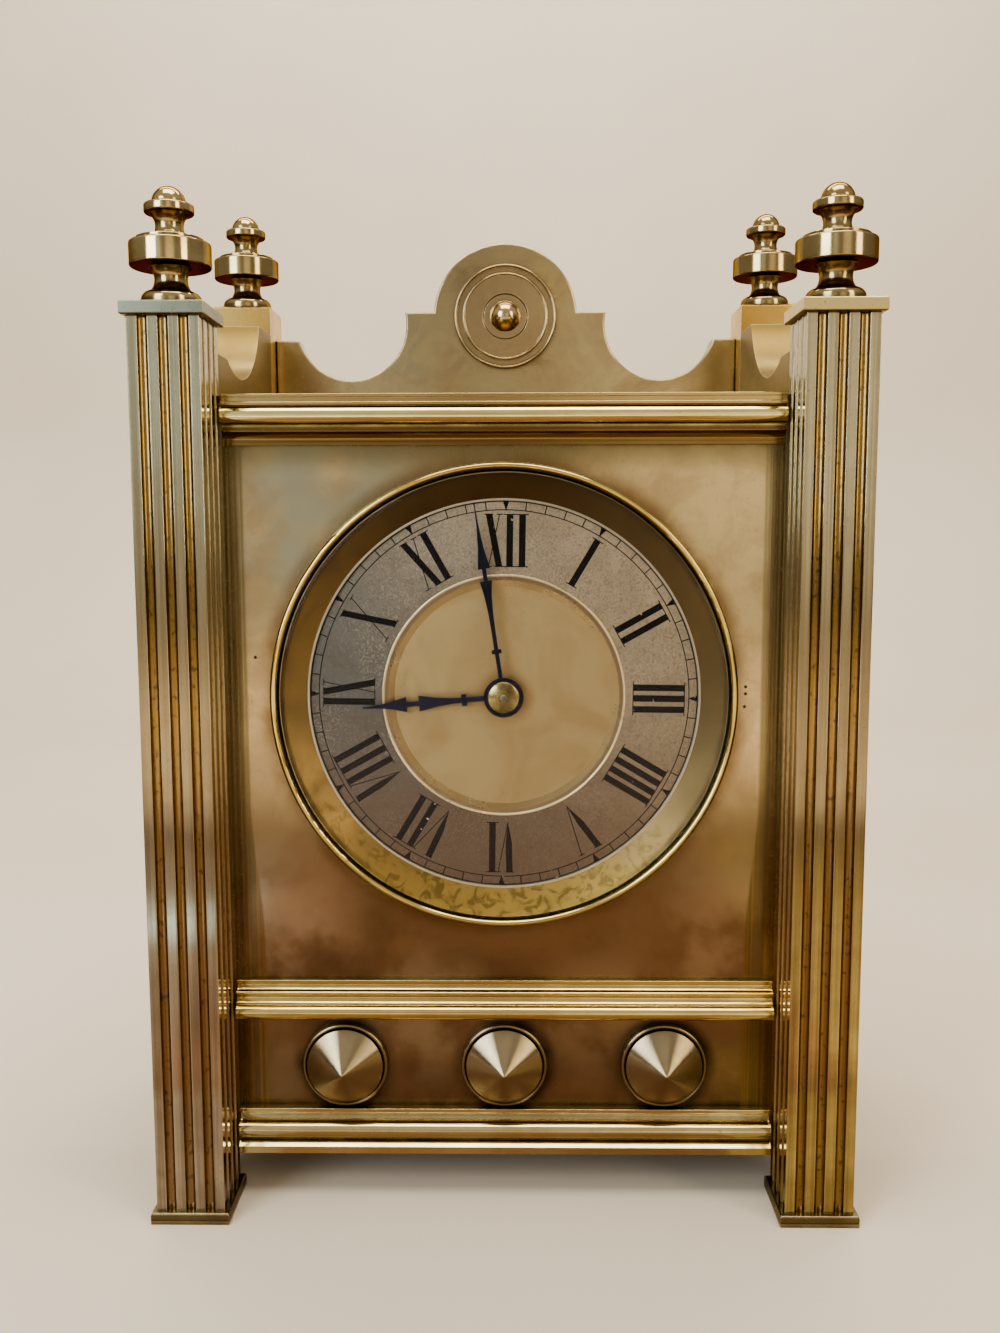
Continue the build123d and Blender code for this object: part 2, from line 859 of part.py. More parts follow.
# Dial plate, with a raised rim that seats on the back of the panel
dial_rim_inner = chapter_outer + sight_clearance
with BuildPart() as dial_plate:
    with BuildSketch(front_plane(0, dial_back_y, dial_z)):
        Circle(dial_plate_radius)
        Circle(hour_pipe_radius + running_gap, mode=Mode.SUBTRACT)
    extrude(amount=dial_plate_thickness)
    with BuildSketch(front_plane(0, dial_plate_y, dial_z)):
        Circle(dial_plate_radius)
        Circle(dial_rim_inner, mode=Mode.SUBTRACT)
    extrude(amount=dial_plate_y - panel_back_y)
save(dial_plate, "dial_plate")

# Silvered chapter ring
with BuildPart() as chapter_ring:
    with BuildSketch(front_plane(0, dial_plate_y, dial_z)):
        Circle(chapter_outer)
        Circle(chapter_inner, mode=Mode.SUBTRACT)
    extrude(amount=chapter_thickness)
save(chapter_ring, "chapter_ring")

# Recessed dial centre with a stepped rim and a fine bead against the chapter ring
with BuildPart() as dial_centre:
    with BuildSketch(turning_plane(0, dial_plate_y, dial_z)):
        with BuildLine():
            rim_step = (centre_radius + chapter_inner) / 2
            centre_hole = hour_pipe_radius + running_gap
            bead_foot = chapter_inner - 2 * centre_bead
            Polyline(
                (chapter_inner, chapter_thickness),
                (chapter_inner, 0),
                (centre_hole, 0),
                (centre_hole, centre_floor),
                (centre_radius, centre_floor),
                (rim_step, chapter_thickness - centre_bead),
                (bead_foot, chapter_thickness - centre_bead),
                (bead_foot, chapter_thickness),
            )
            ThreePointArc(
                (bead_foot, chapter_thickness),
                (chapter_inner - centre_bead, chapter_thickness + centre_bead),
                (chapter_inner, chapter_thickness),
            )
        make_face()
    revolve(axis=dial_axis(0, dial_z))
save(dial_centre, "dial_centre")


# A hand: eye, slim shaft with a cross collar, then two barbed leaves
def hand(y, angle, eye, bore, length, leaf, marks):
    collar, flare, first_barb, second_barb = (length * mark for mark in marks)
    shaft = leaf * hand_shaft_share
    point = leaf * hand_point_share
    with BuildPart() as piece:
        with BuildSketch(hand_plane(y, angle)):
            with BuildLine():
                Polyline((0, 0), (shaft / 2, 0), (shaft / 2, flare))
                ThreePointArc(
                    (shaft / 2, flare),
                    (shaft / 4 + leaf / 8, (2 * first_barb + flare) / 3),
                    (leaf / 2, first_barb),
                )
                Polyline(
                    (leaf / 2, first_barb),
                    (shaft / 2, first_barb),
                    (shaft / 2, second_barb),
                    (leaf / 2, second_barb),
                )
                ThreePointArc(
                    (leaf / 2, second_barb),
                    (leaf / 8 + point / 4, (2 * second_barb + length) / 3),
                    (point / 2, length),
                )
                Line((point / 2, length), (0, length))
                mirror(about=Plane.YZ)
            make_face()
            with Locations((0, collar)):
                Rectangle(leaf * hand_collar_share, shaft)
            Circle(eye)
            Circle(bore, mode=Mode.SUBTRACT)
        extrude(amount=hand_thickness)
    return piece


hour_length = dial_radius * hour_reach
minute_length = dial_radius * minute_reach
hour_hand = hand(hour_hand_y, hour_angle, hour_eye, hour_pipe_radius, hour_length, hour_leaf, hour_marks)
save(hour_hand, "hour_hand")
minute_hand = hand(
    minute_hand_y, minute_angle, minute_eye, cannon_pipe_radius, minute_length, minute_leaf, minute_marks
)
save(minute_hand, "minute_hand")

# Domed brass collet that holds the minute hand on
with BuildPart() as hand_collet:
    with BuildSketch(turning_plane(0, hand_front_y, dial_z)):
        with BuildLine():
            Polyline((centre_arbor_radius, collet_height), (centre_arbor_radius, 0), (collet_radius, 0))
            ThreePointArc(
                (collet_radius, 0),
                (collet_radius * collet_bow_radius, collet_height * collet_bow_height),
                (centre_arbor_radius, collet_height),
            )
        make_face()
    revolve(axis=dial_axis(0, dial_z))
save(hand_collet, "hand_collet")


# Toothed outline: a root disc and straight-sided teeth about the plane's origin
def toothed_disc(module, count, flank, start):
    pitch = module * count / 2
    root = pitch - tooth_dedendum * module
    tip = pitch + tooth_addendum * module
    heel = root - tooth_heel * module
    Circle(root)
    with PolarLocations(0, count, start_angle=start):
        Polygon(
            (heel, -flank * module),
            (pitch, -tooth_half_width * module),
            (tip, -tooth_tip_half_width * module),
            (tip, tooth_tip_half_width * module),
            (pitch, tooth_half_width * module),
            (heel, flank * module),
            align=None,
        )


# Windows between the spokes of a train wheel
def crossings(module, count, hub):
    rim = module * (count / 2 - wheel_rim)
    Circle(rim, mode=Mode.SUBTRACT)
    Circle(hub)
    with PolarLocations(0, crossing_spokes):
        with Locations(((hub + rim) / 2, 0)):
            Rectangle(rim - hub + 2 * module, hub * spoke_share)


# Centre arbor with its pinion and wheel; the front end carries the hands, the back end is squared
great_wheel_y = plates_inside_y + running_gap + great_thickness + pinion_overlap
centre_wheel_y = back_plate_y - 2 * running_gap - pinion_overlap
with BuildPart() as centre_arbor:
    with BuildSketch(front_plane(0, movement_back_y + running_gap, dial_z)):
        Circle(centre_arbor_radius)
    extrude(amount=movement_back_y + running_gap - arbor_tip_y)
    with BuildSketch(front_plane(0, movement_back_y + setting_reach, dial_z)):
        Rectangle(setting_square, setting_square)
    extrude(amount=setting_reach - running_gap)
    with BuildSketch(front_plane(0, great_wheel_y + pinion_overlap, dial_z)):
        toothed_disc(great_module, centre_pinion_teeth, pinion_flank, 0)
    extrude(amount=great_thickness + 2 * pinion_overlap)
    with BuildSketch(front_plane(0, centre_wheel_y, dial_z)):
        toothed_disc(centre_module, centre_teeth, wheel_flank, 0)
        crossings(centre_module, centre_teeth, 3 * centre_arbor_radius)
    extrude(amount=wheel_thickness)
save(centre_arbor, "centre_arbor")

# Cannon pinion on the centre arbor, reaching forward to the minute hand
motion_module_minute = 2 * motion_distance / (cannon_teeth + minute_wheel_teeth)
motion_module_hour = 2 * motion_distance / (minute_pinion_teeth + hour_wheel_teeth)
minute_wheel_y = front_plate_y - running_gap
cannon_top_y = minute_wheel_y - wheel_thickness - pinion_overlap
with BuildPart() as cannon_pinion:
    with BuildSketch(front_plane(0, minute_wheel_y, dial_z)):
        toothed_disc(motion_module_minute, cannon_teeth, pinion_flank, 0)
        Circle(centre_arbor_radius, mode=Mode.SUBTRACT)
    extrude(amount=minute_wheel_y - cannon_top_y)
    with BuildSketch(front_plane(0, cannon_top_y, dial_z)):
        Circle(cannon_pipe_radius)
        Circle(centre_arbor_radius, mode=Mode.SUBTRACT)
    extrude(amount=cannon_top_y - hand_front_y)
save(cannon_pinion, "cannon_pinion")

# Minute wheel and pinion, on a stud beside the centre
hour_wheel_y = cannon_top_y - 3 * running_gap
minute_pinion_top_y = hour_wheel_y - wheel_thickness - pinion_overlap
with BuildPart() as minute_wheel:
    with BuildSketch(front_plane(motion_distance, minute_wheel_y, dial_z)):
        toothed_disc(motion_module_minute, minute_wheel_teeth, wheel_flank, 180 + 180 / minute_wheel_teeth)
        Circle(stud_radius + shaft_clearance, mode=Mode.SUBTRACT)
    extrude(amount=wheel_thickness)
    with BuildSketch(front_plane(motion_distance, minute_wheel_y - wheel_thickness, dial_z)):
        toothed_disc(motion_module_hour, minute_pinion_teeth, pinion_flank, 180)
        Circle(stud_radius + shaft_clearance, mode=Mode.SUBTRACT)
    extrude(amount=minute_wheel_y - wheel_thickness - minute_pinion_top_y)
save(minute_wheel, "minute_wheel")

# Hour wheel and pipe, running on the cannon pinion
with BuildPart() as hour_wheel:
    with BuildSketch(front_plane(0, hour_wheel_y, dial_z)):
        toothed_disc(motion_module_hour, hour_wheel_teeth, wheel_flank, 180 / hour_wheel_teeth)
        Circle(hour_pipe_bore, mode=Mode.SUBTRACT)
    extrude(amount=wheel_thickness)
    with BuildSketch(front_plane(0, hour_wheel_y, dial_z)):
        Circle(hour_pipe_radius)
        Circle(hour_pipe_bore, mode=Mode.SUBTRACT)
    extrude(amount=hour_wheel_y - hour_hand_y + hand_thickness)
save(hour_wheel, "hour_wheel")

# Movement plates
plate_mid = (plate_bottom + plate_top) / 2
pillar_span_x = 2 * (plate_half_width - pillar_inset)
pillar_span_z = plate_top - plate_bottom - 2 * pillar_inset
foot_span_x = 2 * (plate_half_width - dial_foot_inset)
foot_span_z = plate_top - plate_bottom - 2 * dial_foot_inset


def plate_outline():
    RectangleRounded(2 * plate_half_width, plate_top - plate_bottom, plate_corner)
    with Locations((0, dial_z - plate_mid)):
        Circle(centre_arbor_radius + shaft_clearance, mode=Mode.SUBTRACT)
    with Locations((0, barrel_z - plate_mid)):
        Circle(winding_arbor_radius + shaft_clearance, mode=Mode.SUBTRACT)
    with Locations((0, third_z - plate_mid)):
        Circle(third_arbor_radius + shaft_clearance, mode=Mode.SUBTRACT)


with BuildPart() as front_plate:
    with BuildSketch(front_plane(0, plates_inside_y, plate_mid)):
        plate_outline()
    extrude(amount=plate_thickness)
    with BuildSketch(front_plane(motion_distance, front_plate_y, dial_z)):
        Circle(stud_radius)
    extrude(amount=front_plate_y - minute_pinion_top_y + running_gap)
    with BuildSketch(front_plane(motion_distance, minute_pinion_top_y - running_gap, dial_z)):
        Circle(stud_head_radius)
    extrude(amount=running_gap)
save(front_plate, "front_plate")

with BuildPart() as back_plate:
    with BuildSketch(front_plane(0, movement_back_y, plate_mid)):
        plate_outline()
    extrude(amount=plate_thickness)
save(back_plate, "back_plate")

with BuildPart() as plate_pillars:
    with BuildSketch(front_plane(0, back_plate_y, plate_mid)):
        with GridLocations(pillar_span_x, pillar_span_z, 2, 2):
            Circle(pillar_radius)
    extrude(amount=plate_space)
save(plate_pillars, "plate_pillars")

with BuildPart() as dial_feet:
    with BuildSketch(front_plane(0, front_plate_y, plate_mid)):
        with GridLocations(foot_span_x, foot_span_z, 2, 2):
            Circle(dial_foot_radius)
    extrude(amount=motion_space)
save(dial_feet, "dial_feet")

# Going barrel with the great wheel on its rim, turning on the winding arbor
great_phase = 90 + 180 / great_teeth
barrel_length = plate_space * barrel_share
with BuildPart() as going_barrel:
    with BuildSketch(front_plane(0, great_wheel_y, barrel_z)):
        toothed_disc(great_module, great_teeth, wheel_flank, great_phase)
        Circle(winding_arbor_radius + shaft_clearance, mode=Mode.SUBTRACT)
    extrude(amount=great_thickness)
    with BuildSketch(front_plane(0, great_wheel_y + barrel_length, barrel_z)):
        Circle(barrel_radius)
        Circle(winding_arbor_radius + shaft_clearance, mode=Mode.SUBTRACT)
    extrude(amount=barrel_length)
    barrel_rims = going_barrel.edges().filter_by(GeomType.CIRCLE).group_by(Axis.Y)[-1]
    fillet(barrel_rims.sort_by(SortBy.RADIUS)[-1], edge_round)
save(going_barrel, "going_barrel")

with BuildPart() as winding_arbor:
    with BuildSketch(front_plane(0, movement_back_y + running_gap, barrel_z)):
        Circle(winding_arbor_radius)
    extrude(amount=movement_back_y + running_gap - front_plate_y)
    with BuildSketch(front_plane(0, movement_back_y + winding_reach, barrel_z)):
        Rectangle(winding_square, winding_square)
    extrude(amount=winding_reach - running_gap)
save(winding_arbor, "winding_arbor")

# Third wheel above the centre, its pinion in mesh with the centre wheel
third_wheel_y = plates_inside_y + plate_space * third_wheel_share
with BuildPart() as third_wheel:
    with BuildSketch(front_plane(0, movement_back_y, third_z)):
        Circle(third_arbor_radius)
    extrude(amount=movement_back_y - front_plate_y)
    with BuildSketch(front_plane(0, centre_wheel_y + pinion_overlap, third_z)):
        toothed_disc(centre_module, third_pinion_teeth, pinion_flank, 270 + 180 / third_pinion_teeth)
    extrude(amount=wheel_thickness + 2 * pinion_overlap)
    with BuildSketch(front_plane(0, third_wheel_y, third_z)):
        toothed_disc(third_module, third_teeth, wheel_flank, 0)
        crossings(third_module, third_teeth, 3 * third_arbor_radius)
    extrude(amount=wheel_thickness)
save(third_wheel, "third_wheel")

# Platform escapement on top of the plates: platform with the closed escapement under it
platform_y = (front_plate_y + movement_back_y) / 2
platform_length = movement_back_y - front_plate_y
platform_z = plate_top + platform_thickness
with BuildPart() as platform:
    with BuildSketch(Plane(origin=(0, platform_y, plate_top))):
        Rectangle(2 * platform_half_width, platform_length)
        Circle(staff_radius + shaft_clearance, mode=Mode.SUBTRACT)
    extrude(amount=platform_thickness)
    with BuildSketch(Plane(origin=(0, platform_y, plate_top))):
        Rectangle(escapement_width, escapement_width)
        Circle(staff_radius + shaft_clearance, mode=Mode.SUBTRACT)
    extrude(amount=-escapement_depth)
save(platform, "platform")

# Balance wheel with two arms on its staff
balance_z = platform_z + balance_lift
balance_radius = platform_length / 2 - cock_width - balance_room
with BuildPart() as balance_wheel:
    with BuildSketch(Plane(origin=(0, platform_y, balance_z))):
        Circle(balance_radius)
        Circle(balance_radius - balance_rim, mode=Mode.SUBTRACT)
        Rectangle(2 * balance_radius - balance_rim, balance_rim)
        Circle(balance_rim)
    extrude(amount=balance_rim)
    with BuildSketch(Plane(origin=(0, platform_y, plate_top))):
        Circle(staff_radius)
    extrude(amount=platform_thickness + cock_lift + cock_thickness / 2)
save(balance_wheel, "balance_wheel")

# Balance cock: a foot at the back of the platform and an arm over the balance
cock_foot_y = platform_length / 2 - cock_width / 2
with BuildPart() as balance_cock:
    with BuildSketch(Plane(origin=(0, platform_y, platform_z))):
        with Locations((0, cock_foot_y)):
            Rectangle(cock_width, cock_width)
    extrude(amount=cock_lift + cock_thickness)
    with BuildSketch(Plane(origin=(0, platform_y, platform_z + cock_lift))):
        with Locations((0, cock_foot_y / 2)):
            Rectangle(cock_width, cock_foot_y)
        Circle(cock_width / 2)
        Circle(staff_radius + shaft_clearance, mode=Mode.SUBTRACT)
    extrude(amount=cock_thickness)
save(balance_cock, "balance_cock")

# Back frame between the rear posts, open behind the movement
door_mid = (door_bottom + door_top) / 2
with BuildPart() as back_frame:
    with BuildSketch(front_plane(0, back_frame_y, wall_mid)):
        Rectangle(2 * inner_x, wall_top - wall_bottom)
        with Locations((0, door_mid - wall_mid)):
            RectangleRounded(door_opening_x, door_top - door_bottom, door_corner, mode=Mode.SUBTRACT)
    extrude(amount=sheet)
save(back_frame, "back_frame")

# Hinges: the frame's leaves, knuckles and pins
hinge_span = door_top - door_bottom - 2 * hinge_inset
leaf_y = back_frame_y + hinge_leaf / 2
with BuildPart() as door_hinges:
    for hinge_z in (door_mid - hinge_span / 2, door_mid + hinge_span / 2):
        hinge_bottom = hinge_z - 1.5 * hinge_segment
        with BuildSketch(Plane(origin=(hinge_x, leaf_y, hinge_bottom))):
            with Locations((-hinge_clear, 0)):
                Rectangle(hinge_leaf_length, hinge_leaf, align=(Align.MAX, Align.CENTER))
        extrude(amount=3 * hinge_segment)
        for knuckle_z in (hinge_bottom, hinge_bottom + 2 * hinge_segment):
            with BuildSketch(Plane(origin=(hinge_x, hinge_y, knuckle_z))):
                Circle(hinge_radius)
                Rectangle(2 * hinge_clear, hinge_y - back_frame_y, align=(Align.MAX, Align.MAX))
            extrude(amount=hinge_segment)
        with BuildSketch(Plane(origin=(hinge_x, hinge_y, hinge_bottom))):
            Circle(hinge_pin_radius)
        extrude(amount=3 * hinge_segment)
save(door_hinges, "door_hinges")

# Back door with its own knuckles and leaves
with BuildPart() as back_door:
    with BuildSketch(front_plane(0, door_face_y, door_mid)):
        RectangleRounded(2 * door_half, door_top - door_bottom + 2 * door_lap, door_corner)
    extrude(amount=door_thickness)
    for hinge_z in (door_mid - hinge_span / 2, door_mid + hinge_span / 2):
        with BuildSketch(Plane(origin=(hinge_x, hinge_y, hinge_z - hinge_segment / 2 + hinge_split))):
            Circle(hinge_radius)
            with Locations((hinge_leaf_length / 2, door_face_y + hinge_leaf / 2 - hinge_y)):
                Rectangle(hinge_leaf_length, hinge_leaf)
            Circle(hinge_pin_radius + shaft_clearance, mode=Mode.SUBTRACT)
        extrude(amount=hinge_segment - 2 * hinge_split)
save(back_door, "back_door")

# Turned pull knob on the door
knob_x = door_half - knob_inset
knob_neck = (knob_radius * knob_neck_share, knob_height * knob_neck_rise)
knob_bulge = (knob_radius, knob_height * knob_bulge_rise)
knob_face = (knob_radius * knob_face_share, knob_height)
with BuildPart() as door_knob:
    with BuildSketch(Plane(origin=(knob_x, door_face_y, door_mid), x_dir=(1, 0, 0), z_dir=(0, 0, 1))):
        with BuildLine():
            Polyline((0, 0), (knob_radius * knob_foot_share, 0), knob_neck)
            ThreePointArc(knob_neck, knob_bulge, knob_face)
            Polyline(knob_face, (0, knob_height), (0, 0))
        make_face()
    revolve(axis=dial_axis(knob_x, door_mid))
save(door_knob, "door_knob")

# Screw heads on both plates' pillars, on the dial plate's rim and round the back frame
dial_screw_radius = (dial_rim_inner + dial_plate_radius) / 2
back_screw_span = 2 * (inner_x - back_screw_inset)
back_screw_step = (wall_top - wall_bottom - 2 * back_screw_inset) / (back_screw_rows - 1)
with BuildPart() as screws:
    for seat_y, direction in ((front_plate_y, 1), (movement_back_y, -1)):
        with BuildSketch(front_plane(0, seat_y, plate_mid)):
            with GridLocations(pillar_span_x, pillar_span_z, 2, 2):
                Circle(screw_head_radius)
        extrude(amount=direction * screw_head_height)
    with BuildSketch(front_plane(0, dial_back_y, dial_z)):
        with PolarLocations(dial_screw_radius, dial_screw_count, start_angle=180 / dial_screw_count):
            Circle(screw_head_radius)
    extrude(amount=-screw_head_height)
    with BuildSketch(front_plane(0, back_frame_y, wall_mid)):
        with GridLocations(back_screw_span, back_screw_step, 2, back_screw_rows):
            Circle(screw_head_radius)
    extrude(amount=-screw_head_height)
save(screws, "screws")
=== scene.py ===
import math

import bmesh
import bpy
from mathutils import Matrix, Vector


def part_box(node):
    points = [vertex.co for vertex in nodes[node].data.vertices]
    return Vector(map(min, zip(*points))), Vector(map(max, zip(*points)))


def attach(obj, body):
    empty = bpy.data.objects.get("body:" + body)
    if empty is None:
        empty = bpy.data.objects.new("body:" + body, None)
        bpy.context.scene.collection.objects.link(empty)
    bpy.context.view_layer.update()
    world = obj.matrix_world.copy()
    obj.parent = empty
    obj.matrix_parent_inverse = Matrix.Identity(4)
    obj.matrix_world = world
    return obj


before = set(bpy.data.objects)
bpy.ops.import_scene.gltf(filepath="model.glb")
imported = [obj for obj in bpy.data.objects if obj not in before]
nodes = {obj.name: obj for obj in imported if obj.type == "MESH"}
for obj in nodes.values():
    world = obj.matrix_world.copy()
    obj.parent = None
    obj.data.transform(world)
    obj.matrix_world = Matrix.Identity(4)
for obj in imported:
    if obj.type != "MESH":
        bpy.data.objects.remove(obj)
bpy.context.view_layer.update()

MM = 0.001

# Dial centre and face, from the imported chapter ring
ring_low, ring_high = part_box("chapter_ring")
DIAL_X = (ring_low.x + ring_high.x) / 2
DIAL_Z = (ring_low.z + ring_high.z) / 2
DIAL_FACE = ring_low.y
DIAL_CENTRE = Vector((DIAL_X, DIAL_FACE, DIAL_Z))


def middle(node):
    low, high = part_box(node)
    return (low + high) / 2


# Shader helpers

def place(tree, kind, inputs=None, **properties):
    """A shader node with its properties set and its inputs set or linked."""
    made = tree.nodes.new("ShaderNode" + kind)
    for name, value in properties.items():
        setattr(made, name, value)
    for key, value in (inputs or {}).items():
        if isinstance(value, bpy.types.NodeSocket):
            tree.links.new(value, made.inputs[key])
        else:
            made.inputs[key].default_value = value
    return made


def maths(tree, operation, first, second=0.0):
    return place(tree, "Math", {0: first, 1: second}, operation=operation).outputs[0]


def times(tree, first, second):
    return maths(tree, "MULTIPLY", first, second)


def remap(tree, value, low, high, to_low=0.0, to_high=1.0):
    """Smooth step of a value between two levels."""
    inputs = {"Value": value, "From Min": low, "From Max": high, "To Min": to_low, "To Max": to_high}
    return place(tree, "MapRange", inputs, interpolation_type="SMOOTHSTEP").outputs[0]


def blend(tree, share, first, second):
    """Colour mix of two colours by a share."""
    mix = place(tree, "Mix", data_type="RGBA")
    for socket, value in ((mix.inputs[0], share), (mix.inputs[6], first), (mix.inputs[7], second)):
        if isinstance(value, bpy.types.NodeSocket):
            tree.links.new(value, socket)
        else:
            socket.default_value = value
    return mix.outputs[2]


def noise(tree, vector, scale, detail=3.0, roughness=0.55, distortion=0.0):
    inputs = {"Vector": vector, "Scale": scale, "Detail": detail}
    inputs.update({"Roughness": roughness, "Distortion": distortion})
    return place(tree, "TexNoise", inputs).outputs[0]


def object_place(tree):
    return place(tree, "TexCoord").outputs["Object"]


def place_axes(tree):
    """Places across, into and up the clock as separate values."""
    return place(tree, "SeparateXYZ", {0: object_place(tree)}).outputs


def vector_maths(tree, operation, first, second=(0.0, 0.0, 0.0)):
    return place(tree, "VectorMath", {0: first, 1: second}, operation=operation).outputs[0]


def start_group(name, inputs, outputs):
    tree = bpy.data.node_groups.new(name, "ShaderNodeTree")
    for label, kind, value in inputs:
        socket = tree.interface.new_socket(label, in_out="INPUT", socket_type="NodeSocket" + kind)
        socket.default_value = value
    for label, kind in outputs:
        tree.interface.new_socket(label, in_out="OUTPUT", socket_type="NodeSocket" + kind)
    given = tree.nodes.new("NodeGroupInput").outputs
    result = tree.nodes.new("NodeGroupOutput").inputs
    return tree, given, result


def start_material(name):
    material = bpy.data.materials.new(name)
    material.use_nodes = True
    tree = material.node_tree
    shader = tree.nodes["Principled BSDF"]
    return material, tree, shader


def use_group(tree, group, values):
    made = tree.nodes.new("ShaderNodeGroup")
    made.node_tree = group
    for key, value in values.items():
        if isinstance(value, bpy.types.NodeSocket):
            tree.links.new(value, made.inputs[key])
        else:
            made.inputs[key].default_value = value
    return made


def rgb(red, green, blue):
    return (red, green, blue, 1.0)


# Drops the depth of a place, as seen from the front
FLAT = (1.0, 0.0, 1.0)


def drawn(tree, value):
    """A value as it is, or drawn by its function in a shader tree."""
    return value(tree) if callable(value) else value


def along(axis, low_colour, high_colour, low, high):
    """A colour that changes between two places along an axis of the clock."""
    def colour(tree):
        share = remap(tree, place_axes(tree)[axis], low, high)
        return blend(tree, share, drawn(tree, low_colour), drawn(tree, high_colour))
    return colour


def near(tree, x, z, inner, outer):
    """One close to a place seen from the front, fading to nothing at the outer reach."""
    flat = vector_maths(tree, "MULTIPLY", object_place(tree), FLAT)
    gap = place(tree, "VectorMath", {0: flat, 1: (x, 0.0, z)}, operation="DISTANCE").outputs["Value"]
    return remap(tree, gap, inner, outer, 1.0, 0.0)


def from_dial(tree):
    """Offset from the dial centre, and the distance from the dial's axis."""
    away = vector_maths(tree, "SUBTRACT", object_place(tree), DIAL_CENTRE)
    flat = vector_maths(tree, "MULTIPLY", away, FLAT)
    return away, place(tree, "VectorMath", {0: flat}, operation="LENGTH").outputs["Value"]


# Levels between which a noise turns into tarnish, a crevice's shade into dirt and painted shade, the bend
# of an edge into wear and a downward slope into painted shade
BLOTCH_EDGE = (0.38, 0.66)
FRECKLE_EDGE = (0.64, 0.76)
FRECKLE_SCALE = 850.0
CREVICE_EDGE = (0.42, 0.9)
RUB_EDGE = (0.8, 0.985)
RUB_REACH = 0.0005
UNDER_SHADE_EDGE = (-0.75, -0.05)
LEAST_ROUGH = 0.05


# Old metal: blotches of tarnish, freckles, dirt and painted shade in the crevices, painted shade on faces
# that turn down, rubbed edges and a fine grain
def make_patina():
    tree, given, result = start_group(
        "patina",
        (
            ("Clean", "Color", rgb(0.7, 0.5, 0.22)),
            ("Tarnish", "Color", rgb(0.36, 0.22, 0.09)),
            ("Grime And Shade", "Color", rgb(0.05, 0.03, 0.012)),
            ("Blotch Size", "Float", 22.0),
            ("Tarnish Share", "Float", 0.5),
            ("Freckles", "Float", 0.25),
            ("Crevice Reach", "Float", 0.004),
            ("Crevice Share", "Float", 0.85),
            ("Rubbed", "Color", rgb(0.86, 0.74, 0.46)),
            ("Edge Wear", "Float", 0.7),
            ("Under Shade", "Color", rgb(0.10, 0.05, 0.016)),
            ("Under Shade Share", "Float", 0.85),
            ("Smooth", "Float", 0.22),
            ("Grain", "Vector", (400.0, 400.0, 400.0)),
        ),
        (("Color", "Color"), ("Roughness", "Float"), ("Height", "Float")),
    )
    spot = object_place(tree)
    blotch = noise(tree, spot, given["Blotch Size"], 5.0, 0.62, 0.7)
    cloud = times(tree, remap(tree, blotch, *BLOTCH_EDGE), given["Tarnish Share"])
    speck = remap(tree, noise(tree, spot, FRECKLE_SCALE, 2.0), *FRECKLE_EDGE)
    freckle = times(tree, speck, given["Freckles"])
    hidden = place(tree, "AmbientOcclusion", {"Distance": given["Crevice Reach"]}, samples=6).outputs["AO"]
    streaks = vector_maths(tree, "MULTIPLY", spot, given["Grain"])
    grain = noise(tree, streaks, 1.0, 2.0, 0.6)
    # Dirt and painted shade in crevices, hollows and under overhangs, from the occlusion
    shade = remap(tree, hidden, *CREVICE_EDGE, 1.0, 0.0)
    uneven = remap(tree, noise(tree, spot, 120.0, 3.0), 0.3, 0.6, 0.6, 1.0)
    dirt_and_shade = times(tree, times(tree, shade, uneven), given["Crevice Share"])
    rounded = place(tree, "Bevel", {"Radius": RUB_REACH}, samples=4).outputs[0]
    facing = place(tree, "NewGeometry").outputs["Normal"]
    bend = place(tree, "VectorMath", {0: rounded, 1: facing}, operation="DOT_PRODUCT").outputs["Value"]
    rubbed = times(tree, remap(tree, bend, *RUB_EDGE, 1.0, 0.0), given["Edge Wear"])
    # Painted shade on faces that turn down
    tilt = place(tree, "SeparateXYZ", {0: facing}).outputs["Z"]
    under_shade = times(tree, remap(tree, tilt, *UNDER_SHADE_EDGE, 1.0, 0.0), given["Under Shade Share"])
    colour = blend(tree, cloud, given["Clean"], given["Tarnish"])
    colour = blend(tree, under_shade, colour, given["Under Shade"])
    colour = blend(tree, freckle, colour, given["Grime And Shade"])
    colour = blend(tree, dirt_and_shade, colour, given["Grime And Shade"])
    colour = blend(tree, rubbed, colour, given["Rubbed"])
    rough = maths(tree, "MULTIPLY_ADD", grain, 0.08)
    tree.links.new(given["Smooth"], rough.node.inputs[2])
    rough = maths(tree, "SUBTRACT", rough, 0.04)
    for share, amount in ((cloud, 0.10), (dirt_and_shade, 0.14), (freckle, 0.2), (rubbed, -0.06)):
        rough = maths(tree, "ADD", rough, times(tree, share, amount))
    tree.links.new(colour, result["Color"])
    tree.links.new(maths(tree, "MAXIMUM", rough, LEAST_ROUGH), result["Roughness"])
    tree.links.new(maths(tree, "SUBTRACT", grain, times(tree, freckle, 0.5)), result["Height"])
    return tree


patina = make_patina()


def finish_metal(tree, shader, wear, bump, soften):
    """Metal shading from the patina group, with edges that catch the light."""
    rounded = place(tree, "Bevel", {"Radius": soften}, samples=4).outputs[0]
    inputs = {"Strength": bump, "Distance": 0.0001, "Height": wear.outputs["Height"], "Normal": rounded}
    relief = place(tree, "Bump", inputs)
    shader.inputs["Metallic"].default_value = 1.0
    tree.links.new(relief.outputs[0], shader.inputs["Normal"])


